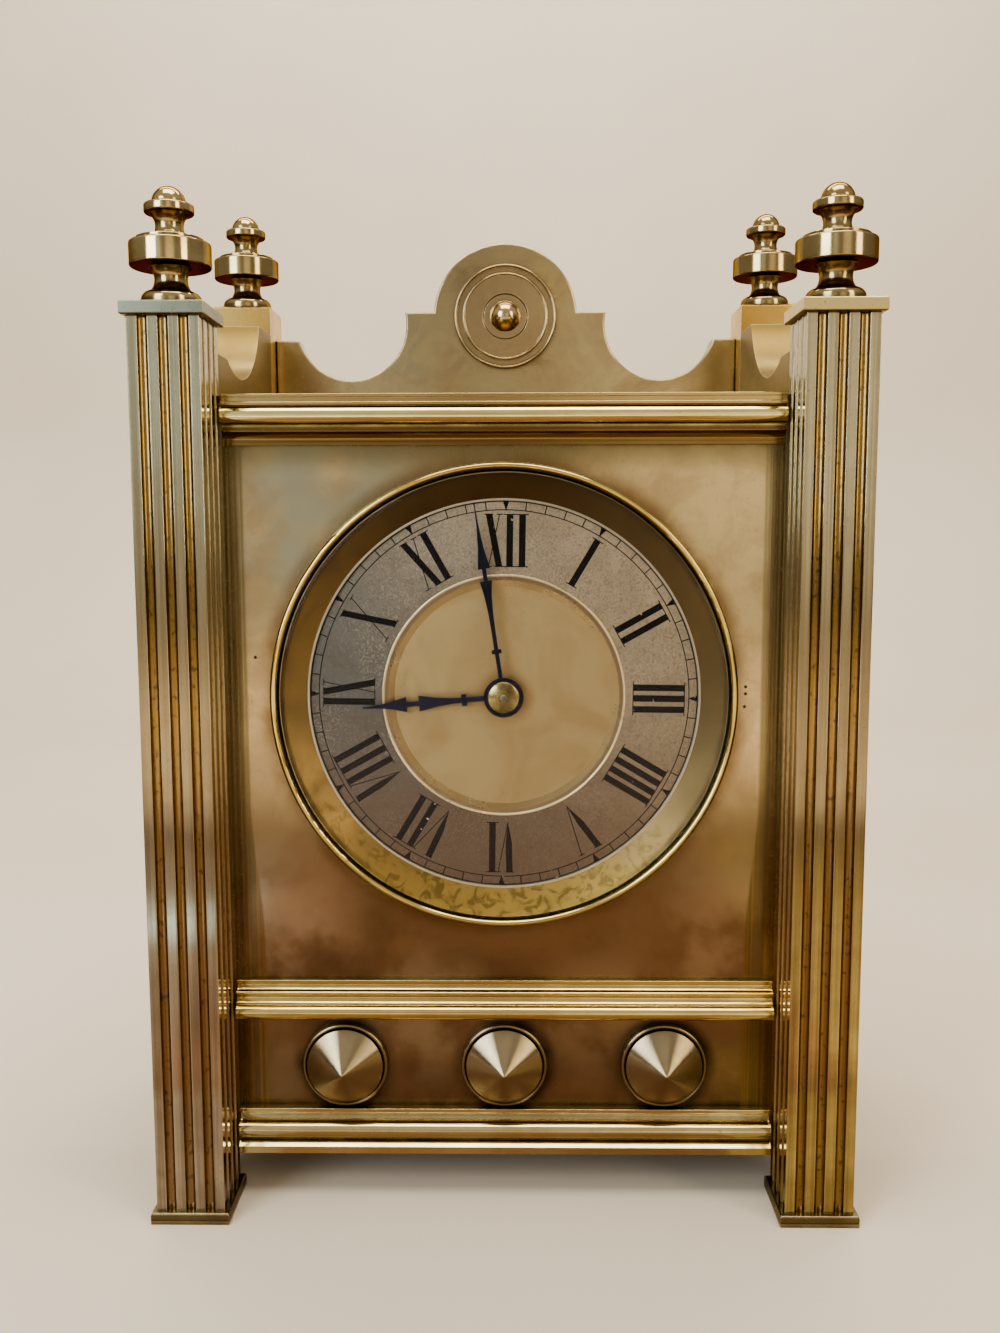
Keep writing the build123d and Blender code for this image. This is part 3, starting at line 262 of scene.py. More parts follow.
def brass(name, clean, tarnish, bump=0.08, soften=0.0004, stains_and_light=None, glance=None, **values):
    """Old metal of one finish. A colour may be plain or drawn by a function, with stains and painted light
    laid over it.
    """
    material, tree, shader = start_material(name)
    if glance:
        shader.inputs["Specular Tint"].default_value = glance
    values = {"Clean": clean, "Tarnish": tarnish, **values}
    wear = use_group(tree, patina, {key: drawn(tree, value) for key, value in values.items()})
    colour = wear.outputs["Color"]
    if stains_and_light:
        colour = stains_and_light(tree, colour)
    tree.links.new(colour, shader.inputs["Base Color"])
    tree.links.new(wear.outputs["Roughness"], shader.inputs["Roughness"])
    finish_metal(tree, shader, wear, bump, soften)
    return material


def lie_along(material, direction, strength):
    """Brushed sheen that spreads along a direction."""
    tree = material.node_tree
    shader = tree.nodes["Principled BSDF"]
    shader.inputs["Anisotropic"].default_value = strength
    tree.links.new(direction(tree), shader.inputs["Tangent"])


def from_axis(centre):
    """Direction away from an axis that runs front to back through a centre."""
    def direction(tree):
        away = vector_maths(tree, "SUBTRACT", object_place(tree), centre)
        return vector_maths(tree, "NORMALIZE", vector_maths(tree, "MULTIPLY", away, FLAT))
    return direction


BRASS = rgb(0.60, 0.455, 0.20)
DULL_BRASS = rgb(0.25, 0.165, 0.068)
BROWN = rgb(0.20, 0.115, 0.045)
OLIVE = rgb(0.19, 0.155, 0.075)
BLACKENED = rgb(0.035, 0.024, 0.012)
COOL_BLOOM = rgb(0.40, 0.42, 0.34)

# Grain of brushed metal: few strokes along one axis and many across it
ALONG_X = (80.0, 3500.0, 3500.0)
ALONG_Y = (3500.0, 80.0, 3500.0)
ALONG_Z = (3500.0, 3500.0, 80.0)
ROUND_Z = (60.0, 60.0, 3500.0)
BOSSES = ("boss_left", "boss_centre", "boss_right")

# Pits in the front panel beside the bezel, across and up in metres
PANEL_PITS = ((0.0931, 0.2010), (0.0928, 0.1960), (0.0931, 0.2037), (-0.0957, 0.2153))

# Blooms on the front panel, with painted sheen in the pale ones low down: across, up and reach in metres,
# share, colour
PANEL_BLOOMS_AND_SHEEN = (
    (-0.072, 0.270, 0.062, 0.75, COOL_BLOOM),
    (0.085, 0.115, 0.050, 0.25, COOL_BLOOM),
    (-0.090, 0.105, 0.045, 0.80, rgb(0.66, 0.58, 0.46)),
    (0.090, 0.105, 0.040, 0.65, rgb(0.62, 0.52, 0.38)),
    (-0.032, 0.072, 0.038, 0.75, rgb(0.56, 0.52, 0.40)),
    (0.040, 0.072, 0.038, 0.65, rgb(0.54, 0.47, 0.34)),
)
BLOOM_AND_SHEEN_CORE = 0.012
PANEL_MOTTLE = rgb(0.36, 0.255, 0.16)

# Painted reflections of the posts in strips beside them: tones, heights of their change, inner edge, and
# how far they widen low down
POST_REFLECTION_LOW = rgb(0.36, 0.23, 0.09)
POST_REFLECTION_HIGH = rgb(0.34, 0.29, 0.18)
STRIP_RISE = (0.10, 0.20)
STRIP_EDGE = (0.0984, 0.0996)
STRIP_TAPER = (0.10, 0.16)
STRIP_SPREAD = 0.0045

# Reach in metres of the halo round the bezel, the shade below the cornice, the dirt and painted shade by a
# boss, and a pit
HALO_REACH = (0.0005, 0.007)
SHADE_REACH = (0.012, 0.001)
BOSS_DIRT_AND_SHADE = (0.0168, 0.0225)
PIT_REACH = (0.0003, 0.0009)


def panel_stains_and_light(tree, colour):
    """Mottled skin, grey blooms and painted sheen, painted reflections of the posts in strips beside them,
    a halo round the bezel, painted shade below the cornice, dirt and painted shade by the bosses, pits.
    """
    uneven = remap(tree, noise(tree, object_place(tree), 45.0, 4.0), 0.32, 0.62)
    mottle = remap(tree, noise(tree, object_place(tree), 60.0, 5.0, 0.62, 0.5), 0.42, 0.64, 0.0, 0.36)
    colour = blend(tree, mottle, colour, PANEL_MOTTLE)
    # Grey blooms, and painted sheen in the pale ones low down
    for x, z, reach, share, bloom_and_sheen_colour in PANEL_BLOOMS_AND_SHEEN:
        bloom_and_sheen = times(tree, near(tree, x, z, BLOOM_AND_SHEEN_CORE, reach), share)
        colour = blend(tree, times(tree, bloom_and_sheen, uneven), colour, bloom_and_sheen_colour)
    axes = place_axes(tree)
    spread = remap(tree, axes["Z"], *STRIP_TAPER, STRIP_SPREAD, 0.0)
    sideways = maths(tree, "ADD", maths(tree, "ABSOLUTE", axes["X"]), spread)
    drag = vector_maths(tree, "MULTIPLY", object_place(tree), (900.0, 0.0, 4.0))
    lines = remap(tree, noise(tree, drag, 1.0, 2.0), 0.40, 0.60)
    # Painted reflection of each post in a strip of the panel beside it
    post_reflection = blend(tree, lines, OLIVE, along("Z", POST_REFLECTION_LOW, POST_REFLECTION_HIGH, *STRIP_RISE)(tree))
    colour = blend(tree, remap(tree, sideways, *STRIP_EDGE, 0.0, 0.7), colour, post_reflection)
    low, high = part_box("bezel")
    rim = (high.x - low.x) / 2
    halo = near(tree, DIAL_X, DIAL_Z, *(rim + reach for reach in HALO_REACH))
    colour = blend(tree, times(tree, times(tree, halo, 0.6), uneven), colour, BROWN)
    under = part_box("cornice")[0].z
    shade = remap(tree, axes["Z"], *(under - reach for reach in SHADE_REACH), 0.0, 0.65)
    colour = blend(tree, shade, colour, OLIVE)
    for boss in BOSSES:
        spot = middle(boss)
        # Dirt and painted shade round each boss
        dirt_and_shade = times(tree, near(tree, spot.x, spot.z, *BOSS_DIRT_AND_SHADE), 0.85)
        colour = blend(tree, times(tree, dirt_and_shade, uneven), colour, BLACKENED)
    for x, z in PANEL_PITS:
        colour = blend(tree, near(tree, x, z, *PIT_REACH), colour, BLACKENED)
    return colour


LAND_STREAK = rgb(0.26, 0.195, 0.11)
FLUTE_LOW = rgb(0.40, 0.28, 0.15)
FLUTE_HIGH = rgb(0.28, 0.18, 0.065)
FLUTE_RISE = (0.08, 0.24)

# Depths below the lands between which the brown of a flute fades
FLUTE_FADE = (0.0008, 0.0002)


def post_stains(tree, colour):
    """Brown flutes between streaky rubbed lands."""
    low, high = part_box("front_post_left")
    centre, half = (low + high) / 2, (high.x - low.x) / 2
    drag = vector_maths(tree, "MULTIPLY", object_place(tree), (620.0, 620.0, 5.0))
    streak = remap(tree, noise(tree, drag, 1.0, 3.0), 0.40, 0.62, 0.0, 0.5)
    colour = blend(tree, streak, colour, LAND_STREAK)
    axes = place_axes(tree)
    across = maths(tree, "SUBTRACT", maths(tree, "ABSOLUTE", axes["X"]), abs(centre.x))
    deep = maths(tree, "SUBTRACT", axes["Y"], centre.y)
    reach = maths(tree, "MAXIMUM", maths(tree, "ABSOLUTE", across), maths(tree, "ABSOLUTE", deep))
    sunk = remap(tree, reach, *(half - depth for depth in FLUTE_FADE), 0.92, 0.0)
    tone = along("Z", FLUTE_LOW, FLUTE_HIGH, *FLUTE_RISE)(tree)
    spots = remap(tree, noise(tree, object_place(tree), 420.0, 3.0), 0.56, 0.70, 0.0, 0.6)
    return blend(tree, sunk, colour, blend(tree, spots, tone, BLACKENED))


# Painted shade on the cornice's band above the roll and on its fascia below
CORNICE_BAND_SHADE = rgb(0.40, 0.285, 0.14)
FASCIA_SHADE = rgb(0.18, 0.10, 0.036)

# Heights from the cornice's middle between which its band starts and its fascia ends
BAND_START = (0.0040, 0.0045)
FASCIA_END = (-0.0030, -0.0020)


def cornice_shade(tree, colour):
    """Painted shade: a tan band above the cornice roll and a dark fascia under it, leaving the roll bright.
    """
    level = maths(tree, "SUBTRACT", place_axes(tree)["Z"], middle("cornice").z)
    colour = blend(tree, remap(tree, level, *BAND_START, 0.0, 0.75), colour, CORNICE_BAND_SHADE)
    return blend(tree, remap(tree, level, *FASCIA_END, 0.9, 0.0), colour, FASCIA_SHADE)


# Patches on the pediment, and a painted shadow below right of the roundel, measured from the roundel:
# across, up and reach in metres, share, colour
CREST_PATCHES_AND_SHADOW = (
    (-0.050, -0.014, 0.034, 0.7, rgb(0.42, 0.39, 0.27)),
    (-0.016, 0.018, 0.018, 0.6, rgb(0.34, 0.26, 0.18)),
    (0.022, 0.012, 0.022, 0.6, rgb(0.66, 0.52, 0.25)),
    # Painted shadow of the roundel
    (0.013, -0.017, 0.014, 0.75, rgb(0.28, 0.19, 0.09)),
    (0.034, -0.018, 0.026, 0.5, rgb(0.46, 0.36, 0.24)),
    (-0.022, -0.020, 0.018, 0.5, rgb(0.40, 0.29, 0.19)),
)
PATCH_CORE = 0.002


def crest_stains_and_shadow(tree, colour):
    """Greenish, pink and golden patches on the pediment, and a painted shadow below right of the roundel.
    """
    uneven = remap(tree, noise(tree, object_place(tree), 90.0, 5.0, 0.6, 1.2), 0.34, 0.6)
    centre = middle("roundel_ring")
    for x, z, reach, share, patch_and_shadow_colour in CREST_PATCHES_AND_SHADOW:
        patch = times(tree, near(tree, centre.x + x, centre.z + z, PATCH_CORE, reach), share)
        colour = blend(tree, times(tree, patch, uneven), colour, patch_and_shadow_colour)
    return colour


# Painted shade, painted golden reflection, cloudy patches and a painted highlight on the lip of the sight
# ring
SIGHT_SHADE = rgb(0.085, 0.062, 0.034)
SIGHT_GOLD_REFLECTION = rgb(0.30, 0.205, 0.06)
SIGHT_CLOUD = rgb(0.08, 0.056, 0.022)
SIGHT_LIP_HIGHLIGHT = rgb(0.40, 0.36, 0.29)

# Reach of the sight ring's painted shade, painted golden reflection, clouds and painted highlight on the
# lip, in metres from the dial centre
SHADE_ACROSS = (0.0, 0.075)
GOLD_UP = (-0.082, -0.055)
CLOUDS_UP = (-0.06, 0.0)
LIP_EDGE = (0.0763, 0.0766)


def sight_stains_and_light(tree, colour):
    """Painted shade on the right side, a painted golden reflection on the foot with cloudy patches, and a
    painted highlight on the lip next to the dial.
    """
    away, radius = from_dial(tree)
    axes = place(tree, "SeparateXYZ", {0: away}).outputs
    colour = blend(tree, remap(tree, axes["X"], *SHADE_ACROSS, 0.0, 0.55), colour, SIGHT_SHADE)
    colour = blend(tree, remap(tree, axes["Z"], *GOLD_UP, 0.7, 0.0), colour, SIGHT_GOLD_REFLECTION)
    cloud = remap(tree, noise(tree, object_place(tree), 170.0, 4.0, 0.6, 1.2), 0.5, 0.62, 0.0, 0.65)
    low = remap(tree, axes["Z"], *CLOUDS_UP, 1.0, 0.0)
    colour = blend(tree, times(tree, cloud, low), colour, SIGHT_CLOUD)
    return blend(tree, remap(tree, radius, *LIP_EDGE, 1.0, 0.0), colour, SIGHT_LIP_HIGHLIGHT)


# Heights, and places across, between which a finish changes from one tone to the other
PANEL_RISE = (0.09, 0.19)
POST_FOOT_RISE = (0.07, 0.19)
POST_RISE = (0.20, 0.31)
RAIL_RISE = (0.05, 0.08)
REAR_POST_RISE = (0.15, 0.33)
LEFT_TO_RIGHT = (-0.05, 0.05)

# Finishes of the case, the dial and the movement
# Front panel: darker and browner low down, a painted reflection of brown below it; its wide crevice reach
# adds painted shade
panel_brass = brass(
    "satin_panel_brass", along("Z", rgb(0.34, 0.255, 0.16), rgb(0.63, 0.51, 0.31), *PANEL_RISE),
    along("Z", rgb(0.20, 0.14, 0.08), rgb(0.43, 0.33, 0.20), *PANEL_RISE), stains_and_light=panel_stains_and_light,
    **{"Grain": ALONG_Z, "Smooth": 0.12, "Blotch Size": 16.0, "Tarnish Share": 0.8,
       "Crevice Reach": 0.012},
)
# Posts: pale at the foot, grey on the left and golden on the right, darker brown up to the middle and paler
# at the top, painted reflections
post_foot = along("X", rgb(0.72, 0.67, 0.56), rgb(0.86, 0.74, 0.44), *LEFT_TO_RIGHT)
post_low = along("Z", post_foot, rgb(0.34, 0.285, 0.19), *POST_FOOT_RISE)
post_brass = brass(
    "fluted_post_brass", along("Z", post_low, rgb(0.52, 0.485, 0.36), *POST_RISE),
    along("Z", rgb(0.30, 0.22, 0.13), rgb(0.36, 0.32, 0.225), *POST_RISE),
    soften=0.0007, stains_and_light=post_stains,
    **{"Grain": ALONG_Z, "Smooth": 0.11, "Crevice Reach": 0.003, "Crevice Share": 0.5, "Edge Wear": 1.0,
       "Grime And Shade": rgb(0.10, 0.06, 0.024), "Rubbed": rgb(1.0, 0.96, 0.82)},
)
RAIL_WEAR = {
    "Grain": ALONG_X, "Smooth": 0.10, "Crevice Reach": 0.0035, "Grime And Shade": rgb(0.07, 0.04, 0.014),
    "Rubbed": rgb(0.98, 0.86, 0.50), "Under Shade Share": 0.2,
}
rail_brass = brass(
    "moulded_rail_brass", along("Z", rgb(0.80, 0.71, 0.42), rgb(0.88, 0.73, 0.34), *RAIL_RISE),
    rgb(0.54, 0.41, 0.20), **RAIL_WEAR,
)
cornice_brass = brass(
    "cornice_brass", rgb(1.0, 0.89, 0.47), rgb(0.74, 0.58, 0.27), stains_and_light=cornice_shade, **RAIL_WEAR,
)
side_rail_brass = brass(
    "side_rail_brass", BRASS, DULL_BRASS, **{"Grain": ALONG_Y, "Smooth": 0.16},
)
case_brass = brass(
    "case_sheet_brass", rgb(0.56, 0.43, 0.21), DULL_BRASS,
    **{"Grain": ALONG_Z, "Smooth": 0.22, "Blotch Size": 18.0, "Tarnish Share": 0.6},
)
rear_post_brass = brass(
    "rear_post_brass", along("Z", rgb(0.50, 0.37, 0.16), rgb(0.78, 0.55, 0.20), *REAR_POST_RISE),
    along("Z", rgb(0.27, 0.18, 0.07), rgb(0.54, 0.34, 0.11), *REAR_POST_RISE),
    **{"Grain": ALONG_Z, "Smooth": 0.18, "Blotch Size": 24.0, "Tarnish Share": 0.65, "Edge Wear": 1.0},
)
crest_brass = brass(
    "crest_brass", rgb(0.58, 0.48, 0.29), rgb(0.40, 0.29, 0.16), soften=0.0008, stains_and_light=crest_stains_and_shadow,
    **{"Grain": ALONG_X, "Smooth": 0.17, "Blotch Size": 20.0, "Tarnish Share": 0.75, "Edge Wear": 1.0,
       "Rubbed": rgb(1.0, 0.92, 0.62)},
)
side_crest_brass = brass(
    "side_crest_brass", rgb(0.28, 0.205, 0.075), rgb(0.19, 0.13, 0.045),
    **{"Grain": ALONG_Y, "Smooth": 0.34, "Blotch Size": 24.0},
)
plate_brass = brass(
    "cap_plate_brass", along("X", rgb(0.27, 0.29, 0.23), rgb(0.80, 0.69, 0.37), *LEFT_TO_RIGHT),
    along("X", rgb(0.26, 0.27, 0.22), rgb(0.52, 0.41, 0.21), *LEFT_TO_RIGHT),
    **{"Smooth": 0.26, "Freckles": 0.5},
)
# Foot plates in a darker brass, a painted reflection of the brown below
foot_brass = brass("foot_plate_brass", rgb(0.30, 0.25, 0.15), rgb(0.15, 0.11, 0.06), **{"Smooth": 0.24})
# Finials: dark necks from dirt and painted shade in a wide crevice reach, and painted shade under each
# turning
turned_brass = brass(
    "turned_finial_brass", rgb(0.64, 0.53, 0.30), DULL_BRASS, glance=rgb(0.30, 0.18, 0.075),
    **{"Grain": ROUND_Z, "Smooth": 0.09, "Crevice Reach": 0.016, "Crevice Share": 0.95,
       "Grime And Shade": rgb(0.13, 0.08, 0.03), "Under Shade": rgb(0.07, 0.033, 0.011), "Under Shade Share": 1.0},
)
bezel_brass = brass(
    "bezel_brass", rgb(0.78, 0.64, 0.27), DULL_BRASS, **{"Smooth": 0.10, "Crevice Reach": 0.002},
)
# Sight ring: painted shade on its top, where its faces turn down
sight_brass = brass(
    "sight_ring_brass", rgb(0.172, 0.115, 0.047), rgb(0.10, 0.067, 0.03), bump=0.04, stains_and_light=sight_stains_and_light,
    **{"Smooth": 0.33, "Blotch Size": 40.0, "Tarnish Share": 0.7, "Crevice Reach": 0.0015,
       "Freckles": 0.1, "Under Shade": rgb(0.045, 0.023, 0.008), "Under Shade Share": 1.0},
)
roundel_brass = brass(
    "roundel_brass", rgb(0.57, 0.445, 0.27), rgb(0.36, 0.25, 0.145),
    **{"Smooth": 0.15, "Crevice Reach": 0.0022, "Crevice Share": 1.0, "Grime And Shade": rgb(0.04, 0.024, 0.01),
       "Edge Wear": 0.9, "Rubbed": rgb(0.95, 0.86, 0.56)},
)
movement_brass = brass(
    "movement_brass", rgb(0.66, 0.50, 0.22), rgb(0.46, 0.32, 0.12),
    **{"Smooth": 0.25, "Tarnish Share": 0.35},
)
collet_brass = brass("hand_collet_brass", rgb(0.72, 0.60, 0.30), DULL_BRASS, **{"Smooth": 0.16})
steel = brass(
    "arbor_steel", rgb(0.42, 0.42, 0.43), rgb(0.2, 0.19, 0.18),
    **{"Smooth": 0.25, "Tarnish Share": 0.4, "Rubbed": rgb(0.6, 0.6, 0.6)},
)
blued = brass(
    "blued_steel", rgb(0.028, 0.028, 0.055), rgb(0.012, 0.011, 0.02),
    **{"Smooth": 0.3, "Grime And Shade": rgb(0.01, 0.01, 0.012), "Rubbed": rgb(0.05, 0.05, 0.09),
       "Under Shade Share": 0.0},
)

spun = {}
for boss in BOSSES:
    # Bosses: a painted reflection, brown and darker, on faces that turn down
    spun[boss] = brass(
        "spun_" + boss, rgb(0.37, 0.305, 0.20), rgb(0.29, 0.23, 0.14), bump=0.02,
        **{"Smooth": 0.22, "Tarnish Share": 0.3, "Crevice Reach": 0.002, "Freckles": 0.0,
           "Under Shade": rgb(0.30, 0.20, 0.11), "Under Shade Share": 1.0},
    )
    lie_along(spun[boss], from_axis(middle(boss)), 0.93)
lie_along(collet_brass, from_axis(DIAL_CENTRE), 0.7)


# Direction from the dull side of the chapter ring to its pale side
PALE_SIDE = (0.8, 0.0, 0.6)
WORN_SPECK = rgb(0.48, 0.44, 0.39)
DULL_SPECK = rgb(0.10, 0.08, 0.07)
BROWNED_FOOT = rgb(0.15, 0.092, 0.058)


# Silvering gone mauve and grey, paler at the upper right, with worn specks
def make_silvered():
    material, tree, shader = start_material("silvered_ring")
    spot = object_place(tree)
    away = vector_maths(tree, "SUBTRACT", spot, DIAL_CENTRE)
    toward = place(tree, "VectorMath", {0: away, 1: PALE_SIDE}, operation="DOT_PRODUCT")
    side = remap(tree, toward.outputs["Value"], -0.055, 0.065)
    wear = use_group(tree, patina, {
        "Clean": blend(tree, side, rgb(0.112, 0.110, 0.105), rgb(0.36, 0.295, 0.222)),
        "Tarnish": blend(tree, side, rgb(0.105, 0.092, 0.078), rgb(0.22, 0.175, 0.125)),
        "Grime And Shade": rgb(0.05, 0.036, 0.03), "Blotch Size": 38.0, "Tarnish Share": 0.6,
        "Crevice Share": 0.3, "Smooth": 0.42, "Edge Wear": 0.0, "Under Shade Share": 0.0,
    })
    speck = remap(tree, noise(tree, spot, 1700.0, 2.0), 0.5, 0.68, 0.0, 0.32)
    rubbed = remap(tree, noise(tree, spot, 40.0, 4.0), 0.40, 0.62, 0.35, 1.0)
    colour = blend(tree, times(tree, speck, rubbed), wear.outputs["Color"], WORN_SPECK)
    dull = remap(tree, noise(tree, spot, 1300.0, 2.0, 0.6), 0.48, 0.66, 0.0, 0.38)
    colour = blend(tree, dull, colour, DULL_SPECK)
    low = remap(tree, place_axes(tree)["Z"], DIAL_Z - 0.07, DIAL_Z + 0.02, 0.6, 0.0)
    colour = blend(tree, low, colour, BROWNED_FOOT)
    tree.links.new(colour, shader.inputs["Base Color"])
    tree.links.new(wear.outputs["Roughness"], shader.inputs["Roughness"])
    finish_metal(tree, shader, wear, 0.2, 0.0002)
    return material


# Radii on the dial centre where its bevel, step and bead begin, and the stain round the hands ends
BEVEL_EDGE = (0.0425, 0.0429)
STEP_EDGE = (0.0449, 0.0453)
BEAD_EDGE = (0.0464, 0.0467)
STAIN_EDGE = (0.007, 0.014)
STEP_BROWN = rgb(0.24, 0.18, 0.125)
STAIN_BROWN = rgb(0.28, 0.16, 0.07)
BEAD_HIGHLIGHT = rgb(0.72, 0.62, 0.42)


# Matt gilt centre inside a gold bevel, a brown step and a bead painted bright as a highlight
def make_gilt():
    material, tree, shader = start_material("gilt_centre")
    wear = use_group(tree, patina, {
        "Clean": rgb(0.35, 0.265, 0.145), "Tarnish": rgb(0.27, 0.19, 0.094),
        "Grime And Shade": rgb(0.12, 0.075, 0.03), "Blotch Size": 28.0, "Tarnish Share": 0.8,
        "Crevice Share": 0.35, "Smooth": 0.46, "Edge Wear": 0.3,
    })
    radius = from_dial(tree)[1]
    step = times(tree, remap(tree, radius, *STEP_EDGE), remap(tree, radius, *BEAD_EDGE, 1.0, 0.0))
    stain = times(tree, remap(tree, radius, *STAIN_EDGE, 1.0, 0.0), 0.5)
    colour = blend(tree, step, wear.outputs["Color"], STEP_BROWN)
    colour = blend(tree, stain, colour, STAIN_BROWN)
    # Painted highlight on the bead
    colour = blend(tree, remap(tree, radius, *BEAD_EDGE), colour, BEAD_HIGHLIGHT)
    tree.links.new(colour, shader.inputs["Base Color"])
    rim = times(tree, remap(tree, radius, *BEVEL_EDGE), 0.2)
    rough = maths(tree, "SUBTRACT", wear.outputs["Roughness"], rim)
    tree.links.new(rough, shader.inputs["Roughness"])
    finish_metal(tree, shader, wear, 0.3, 0.0002)
    return material


BLACK_WAX = rgb(0.003, 0.0028, 0.003)
FADED_WAX = rgb(0.018, 0.013, 0.012)
BARE_SILVER = rgb(0.42, 0.38, 0.34)


# Black wax of the numerals, faded low on the dial and chipped here and there
def make_wax():
    material, tree, shader = start_material("numeral_wax")
    spot = object_place(tree)
    flake = remap(tree, noise(tree, spot, 420.0, 2.0), 0.68, 0.72)
    chip = times(tree, flake, remap(tree, noise(tree, spot, 45.0, 2.0), 0.5, 0.56))
    faded = along("Z", FADED_WAX, BLACK_WAX, DIAL_Z - 0.05, DIAL_Z + 0.03)(tree)
    colour = blend(tree, chip, faded, BARE_SILVER)
    tree.links.new(colour, shader.inputs["Base Color"])
    rough = remap(tree, noise(tree, spot, 700.0, 2.0), 0.3, 0.7, 0.38, 0.6)
    tree.links.new(rough, shader.inputs["Roughness"])
    shader.inputs["Specular IOR Level"].default_value = 0.1
    return material


# Clear pane that lets lamps through to the dial
def make_glass():
    material, tree, shader = start_material("dial_glass")
    shader.inputs["Base Color"].default_value = rgb(0.985, 0.99, 0.985)
    shader.inputs["Roughness"].default_value = 0.0
    shader.inputs["IOR"].default_value = 1.15
    shader.inputs["Transmission Weight"].default_value = 1.0
    clear = place(tree, "BsdfTransparent")
    lamp = place(tree, "LightPath").outputs["Is Shadow Ray"]
    mix = place(tree, "MixShader", {0: lamp, 1: shader.outputs[0], 2: clear.outputs[0]})
    tree.links.new(mix.outputs[0], tree.nodes["Material Output"].inputs["Surface"])
    return material


silvered = make_silvered()
gilt = make_gilt()
wax = make_wax()
pane = make_glass()

FINISHES = (
    (panel_brass, ("front_panel",)),
    (post_brass, ("front_post_left", "front_post_right")),
    (rail_brass, ("mid_rail", "base_rail")),
    (cornice_brass, ("cornice",)),
    (side_rail_brass, ("side_cornices", "side_mid_rails", "side_base_rails")),
    (rear_post_brass, ("rear_post_left", "rear_post_right")),
    (case_brass, (
        "side_panel_left", "side_panel_right", "roof_plate", "base_plate",
        "back_frame", "back_door", "door_hinges", "dial_plate", "dial_feet",
    )),
    (crest_brass, ("pediment",)),
    (side_crest_brass, ("side_crest_left", "side_crest_right")),
    (plate_brass, ("post_cap_left", "post_cap_right")),
    (foot_brass, ("foot_plates",)),
    (turned_brass, (
        "front_finial_left", "front_finial_right", "rear_finial_left", "rear_finial_right", "door_knob",
    )),
    (bezel_brass, ("bezel",)),
    (sight_brass, ("sight_ring",)),
    (roundel_brass, ("roundel_ring", "roundel_boss")),
    (movement_brass, (
        "front_plate", "back_plate", "plate_pillars", "cannon_pinion", "hour_wheel", "minute_wheel",
        "going_barrel", "third_wheel", "platform", "balance_wheel", "balance_cock",
    )),
    (steel, ("centre_arbor", "winding_arbor", "tie_rods", "screws")),
    (collet_brass, ("hand_collet",)),
    (blued, ("hour_hand", "minute_hand")),
    (silvered, ("chapter_ring",)),
    (gilt, ("dial_centre",)),
    (pane, ("glass",)),
) + tuple((material, (boss,)) for boss, material in spun.items())
for material, names in FINISHES:
    for name in names:
        mesh = nodes[name].data
        mesh.materials.clear()
        mesh.materials.append(material)


# Pieces laid on the dial

def new_piece(name, mesh_build, material, body):
    mesh = bpy.data.meshes.new(name)
    bmesh.ops.recalc_face_normals(mesh_build, faces=mesh_build.faces)
    mesh_build.to_mesh(mesh)
    mesh_build.free()
    mesh.materials.append(material)
    piece = bpy.data.objects.new(name, mesh)
    bpy.context.scene.collection.objects.link(piece)
    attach(piece, body)
    return piece


def raise_faces(build, height):
    """Turns flat faces on the dial into thin solids that stand toward the viewer."""
    made = bmesh.ops.extrude_face_region(build, geom=build.faces[:], use_keep_orig=True)
    moved = [item for item in made["geom"] if isinstance(item, bmesh.types.BMVert)]
    bmesh.ops.translate(build, verts=moved, vec=(0.0, -height, 0.0))


# The dial sits turned a little clockwise in the case, in degrees
DIAL_TURN = 0.8


def turned(angle):
    """Turns a mark drawn upright at twelve round to a clockwise angle."""
    return Matrix.Translation(DIAL_CENTRE) @ Matrix.Rotation(math.radians(angle), 4, "Y")


def dial_frame(angle):
    return turned(angle + DIAL_TURN)


def outline(build, corners, turn):
    """One flat face from corners given across and up the mark, in millimetres."""
    verts = [build.verts.new(turn @ Vector((x * MM, 0.0, z * MM))) for x, z in corners]
    return build.faces.new(verts)


# Widths of the numerals' strokes, and their feet and heads from the dial centre, in millimetres
STROKE = 2.5
HAIR = 0.36
FOOT = 50.2
HEAD = 70.5
SERIF = 1.15
THICK_SERIF = STROKE / 2 + 0.5
THIN_SERIF = 1.2

# Share of a V's height at which its thick stroke starts to taper to the tip
V_SHOULDER = 0.42

# Thickness of the wax, stepped so that marks that cross have their faces apart
STROKE_WAX = 0.05 * MM
HAIR_WAX = 0.03 * MM
TICK_WAX = 0.02 * MM

# Hour and its letters: an upright by its middle, V by its thick end, thin end and tip, X by its thick ends
NUMERALS = (
    (1, (("I", 0.3),)),
    (2, (("I", -1.0), ("I", 3.8))),
    (3, (("I", -4.0), ("I", 0.2), ("I", 4.5))),
    (4, (("I", -5.5), ("I", -1.2), ("I", 3.0), ("I", 7.1))),
    (5, (("V", -3.4, 4.2, -0.2),)),
    (6, (("V", -3.1, 1.4, -2.3), ("I", 3.8))),
    (7, (("V", -7.0, 0.0, -4.8), ("I", 1.6), ("I", 6.7))),
    (8, (("V", -7.6, -1.6, -6.2), ("I", 0.1), ("I", 5.0), ("I", 10.1))),
    (9, (("I", -2.9), ("X", 0.8, 4.8))),
    (10, (("X", -4.1, 2.9),)),
    (11, (("X", -5.0, -0.4), ("I", 3.7))),
    (12, (("X", -6.5, -2.4), ("I", 1.6), ("I", 6.4))),
)


def block(build, left, right, foot, head, turn):
    """An upright rectangle of the mark."""
    outline(build, ((left, foot), (right, foot), (right, head), (left, head)), turn)


def serif(hair, left, right, level, turn):
    block(hair, left, right, level, level + HAIR, turn)


def slant(build, foot_x, head_x, width, turn):
    """A slanting stroke with level ends."""
    half = width / 2
    foot = ((foot_x - half, FOOT), (foot_x + half, FOOT))
    head = ((head_x + half, HEAD), (head_x - half, HEAD))
    outline(build, foot + head, turn)


